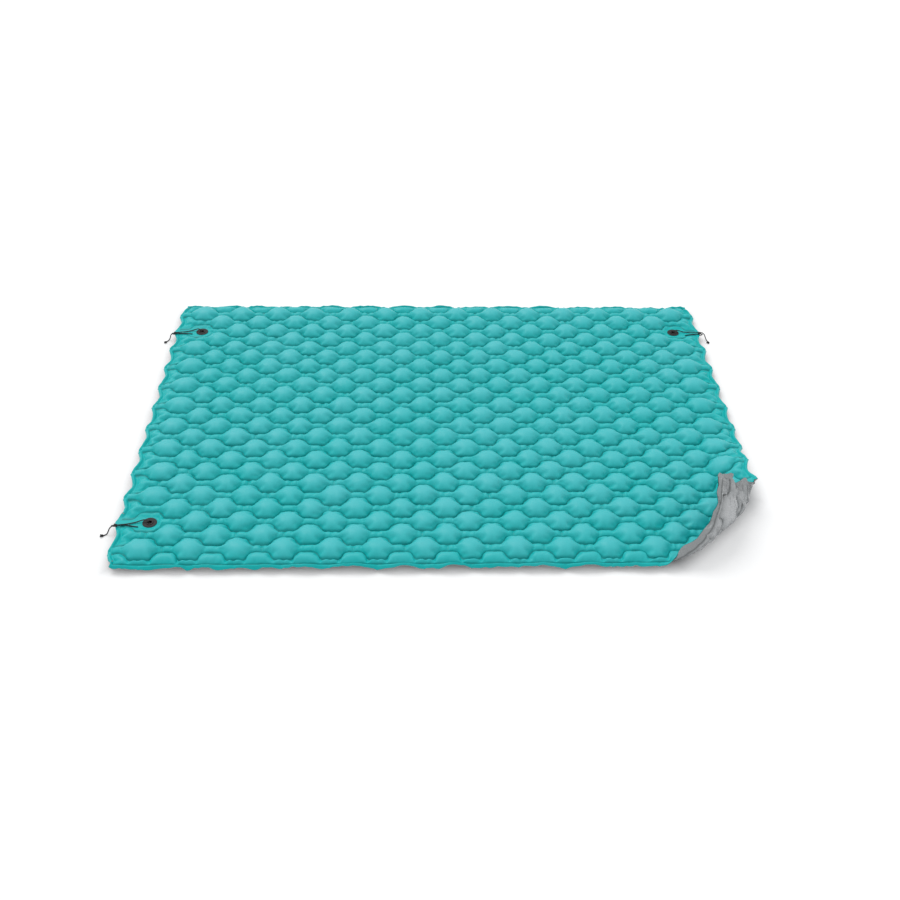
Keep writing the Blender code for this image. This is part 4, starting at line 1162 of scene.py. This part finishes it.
def beside_mat(paint, full):
    """The floor's glow: none under the mat and fading in over a few centimetres round its edges, which paints
    a darker shadow of the mat's shape onto the floor, and full beside it and past its fold.
    """
    curl = bpy.context.scene.float_mat_curl
    half_width, half_depth = edge_half()
    right, front = math.cos(curl.heading), math.sin(curl.heading)
    fold_at = half_width * right + half_depth * front - curl.reach
    apart = paint.add("ShaderNodeSeparateXYZ")
    paint.join(paint.place(), apart, "Vector")
    beside, before = (paint.math("ABSOLUTE", apart.outputs[axis]) for axis in "XY")
    across_fold = paint.add("ShaderNodeVectorMath", operation="DOT_PRODUCT")
    paint.join(paint.place(), across_fold, 0)
    across_fold.inputs[1].default_value = (right, -front, 0)
    past_side = paint.math("SUBTRACT", beside, half_width - GLOW_INSIDE_SIDE)
    past_end = paint.math("SUBTRACT", before, half_depth - GLOW_INSIDE_END)
    past_fold = paint.math("SUBTRACT", across_fold.outputs["Value"], fold_at + GLOW_PAST_FOLD)
    furthest = paint.math("MAXIMUM", paint.math("MAXIMUM", past_side, past_end), past_fold)
    share = paint.add("ShaderNodeMapRange", interpolation_type="SMOOTHSTEP")
    paint.join(furthest, share, "Value")
    for socket, value in zip(("From Min", "From Max", "To Min", "To Max"), (*GLOW_RUN, 0.0, full)):
        share.inputs[socket].default_value = value
    return share.outputs["Result"]


def seen_directly(tree):
    """1 for what the camera sees, also in a mirror or through glass, and 0 for what lights the object."""
    rays = tree.nodes.new("ShaderNodeLightPath").outputs
    seen_or_mirrored = math_node(tree, "MAXIMUM", rays["Is Camera Ray"], rays["Is Glossy Ray"])
    return math_node(tree, "MAXIMUM", seen_or_mirrored, rays["Is Transmission Ray"])


class FLOATMAT_OT_studio(bpy.types.Operator):
    """Adds the pale floor, the soft lights and the camera at the photograph's angle"""

    bl_idname = "float_mat.studio"
    bl_label = "Studio"

    def execute(self, context):
        studio = context.scene.float_mat_studio
        deselect_all()
        bpy.ops.mesh.primitive_plane_add(size=FLOOR_SIZE, location=(0, 0, 0))
        floor = context.object
        floor.name = "studio_floor"
        paint = Nodes("studio_floor")
        paint.shade("Base Color", tuple(studio.floor))
        paint.shade("Roughness", 0.9)
        paint.shade("Emission Color", (1.0, 1.0, 1.0, 1.0))
        # The glow is left out under the mat and near its edges, a painted shadow of the mat's shape.
        glow = paint.math("MULTIPLY", seen_directly(paint.tree), beside_mat(paint, studio.floor_glow))
        paint.shade("Emission Strength", glow)
        floor.data.materials.append(paint.mat)
        soft_light("key_light", studio.key, studio.softness, KEY_FROM)
        world = bpy.data.worlds.new("studio_sky")
        context.scene.world = world
        world.use_nodes = True
        tree = world.node_tree
        sky, seen = tree.nodes["Background"], tree.nodes.new("ShaderNodeBackground")
        for light, colour, strength in ((sky, (0.97, 0.985, 1.0, 1.0), studio.sky),
                                        (seen, (1.0, 1.0, 1.0, 1.0), studio.backdrop)):
            feed(tree, light.inputs["Color"], colour)
            feed(tree, light.inputs["Strength"], strength)
        choose = tree.nodes.new("ShaderNodeMixShader")
        for socket, value in zip(choose.inputs, (seen_directly(tree), sky.outputs[0], seen.outputs[0])):
            feed(tree, socket, value)
        feed(tree, tree.nodes["World Output"].inputs["Surface"], choose.outputs[0])
        place_camera(context, studio.lens)
        context.scene.view_settings.view_transform = "Standard"
        return {"FINISHED"}


def place_camera(context, lens):
    """The photograph's camera: turned right by its yaw, down by its pitch, and rolled."""
    camera = bpy.data.cameras.new("photo_camera")
    camera.lens = lens
    camera.sensor_width = CAMERA_SENSOR
    camera.sensor_height = CAMERA_SENSOR
    obj = add_to_scene("photo_camera", camera)
    level = math.cos(CAMERA_PITCH)
    ahead = Vector((math.sin(CAMERA_YAW) * level, math.cos(CAMERA_YAW) * level, -math.sin(CAMERA_PITCH)))
    right = Vector((math.cos(CAMERA_YAW), -math.sin(CAMERA_YAW), 0))
    up = right.cross(ahead)
    across = right * math.cos(CAMERA_ROLL) + up * math.sin(CAMERA_ROLL)
    upright = up * math.cos(CAMERA_ROLL) - right * math.sin(CAMERA_ROLL)
    turn = Matrix((across, upright, -ahead)).transposed().to_4x4()
    obj.matrix_world = Matrix.Translation(CAMERA_PLACE) @ turn
    context.scene.camera = obj


class FLOATMAT_PT_panel(bpy.types.Panel):
    """Lists the sizes, colours and pieces of the float mat"""

    bl_idname = "FLOATMAT_PT_panel"
    bl_label = "Swim float mat"
    bl_space_type = "VIEW_3D"
    bl_region_type = "UI"
    bl_category = "Float mat"

    def draw(self, context):
        layout = self.layout
        for group in GROUPS:
            box = layout.box()
            box.label(text=group.replace("float_mat_", "").capitalize())
            settings = getattr(context.scene, group)
            for key in settings.bl_rna.properties.keys():
                if key not in ("rna_type", "name"):
                    box.prop(settings, key)
        for step in STEPS:
            layout.operator(step.bl_idname)


GROUPS = {
    "float_mat_sizes": MatSizes,
    "float_mat_curl": CurlSizes,
    "float_mat_air": InflationSettings,
    "float_mat_colours": FinishColours,
    "float_mat_studio": StudioSettings,
}
STEPS = (
    FLOATMAT_OT_studio,
    FLOATMAT_OT_tie_cords,
    FLOATMAT_OT_inflate,
    FLOATMAT_OT_top_film,
    FLOATMAT_OT_bottom_film,
    FLOATMAT_OT_fittings,
)


def register():
    for cls in (*GROUPS.values(), *STEPS, FLOATMAT_PT_panel):
        bpy.utils.register_class(cls)
    for name, group in GROUPS.items():
        setattr(bpy.types.Scene, name, PointerProperty(type=group))


def unregister():
    for name in GROUPS:
        delattr(bpy.types.Scene, name)
    for cls in (FLOATMAT_PT_panel, *reversed(STEPS), *reversed(GROUPS.values())):
        bpy.utils.unregister_class(cls)


def main():
    register()
    bpy.ops.float_mat.studio()
    bpy.ops.float_mat.tie_cords()
    bpy.ops.float_mat.inflate()
    bpy.ops.float_mat.top_film()
    bpy.ops.float_mat.bottom_film()
    bpy.ops.float_mat.fittings()
    deselect_all()


if __name__ == "__main__":
    main()
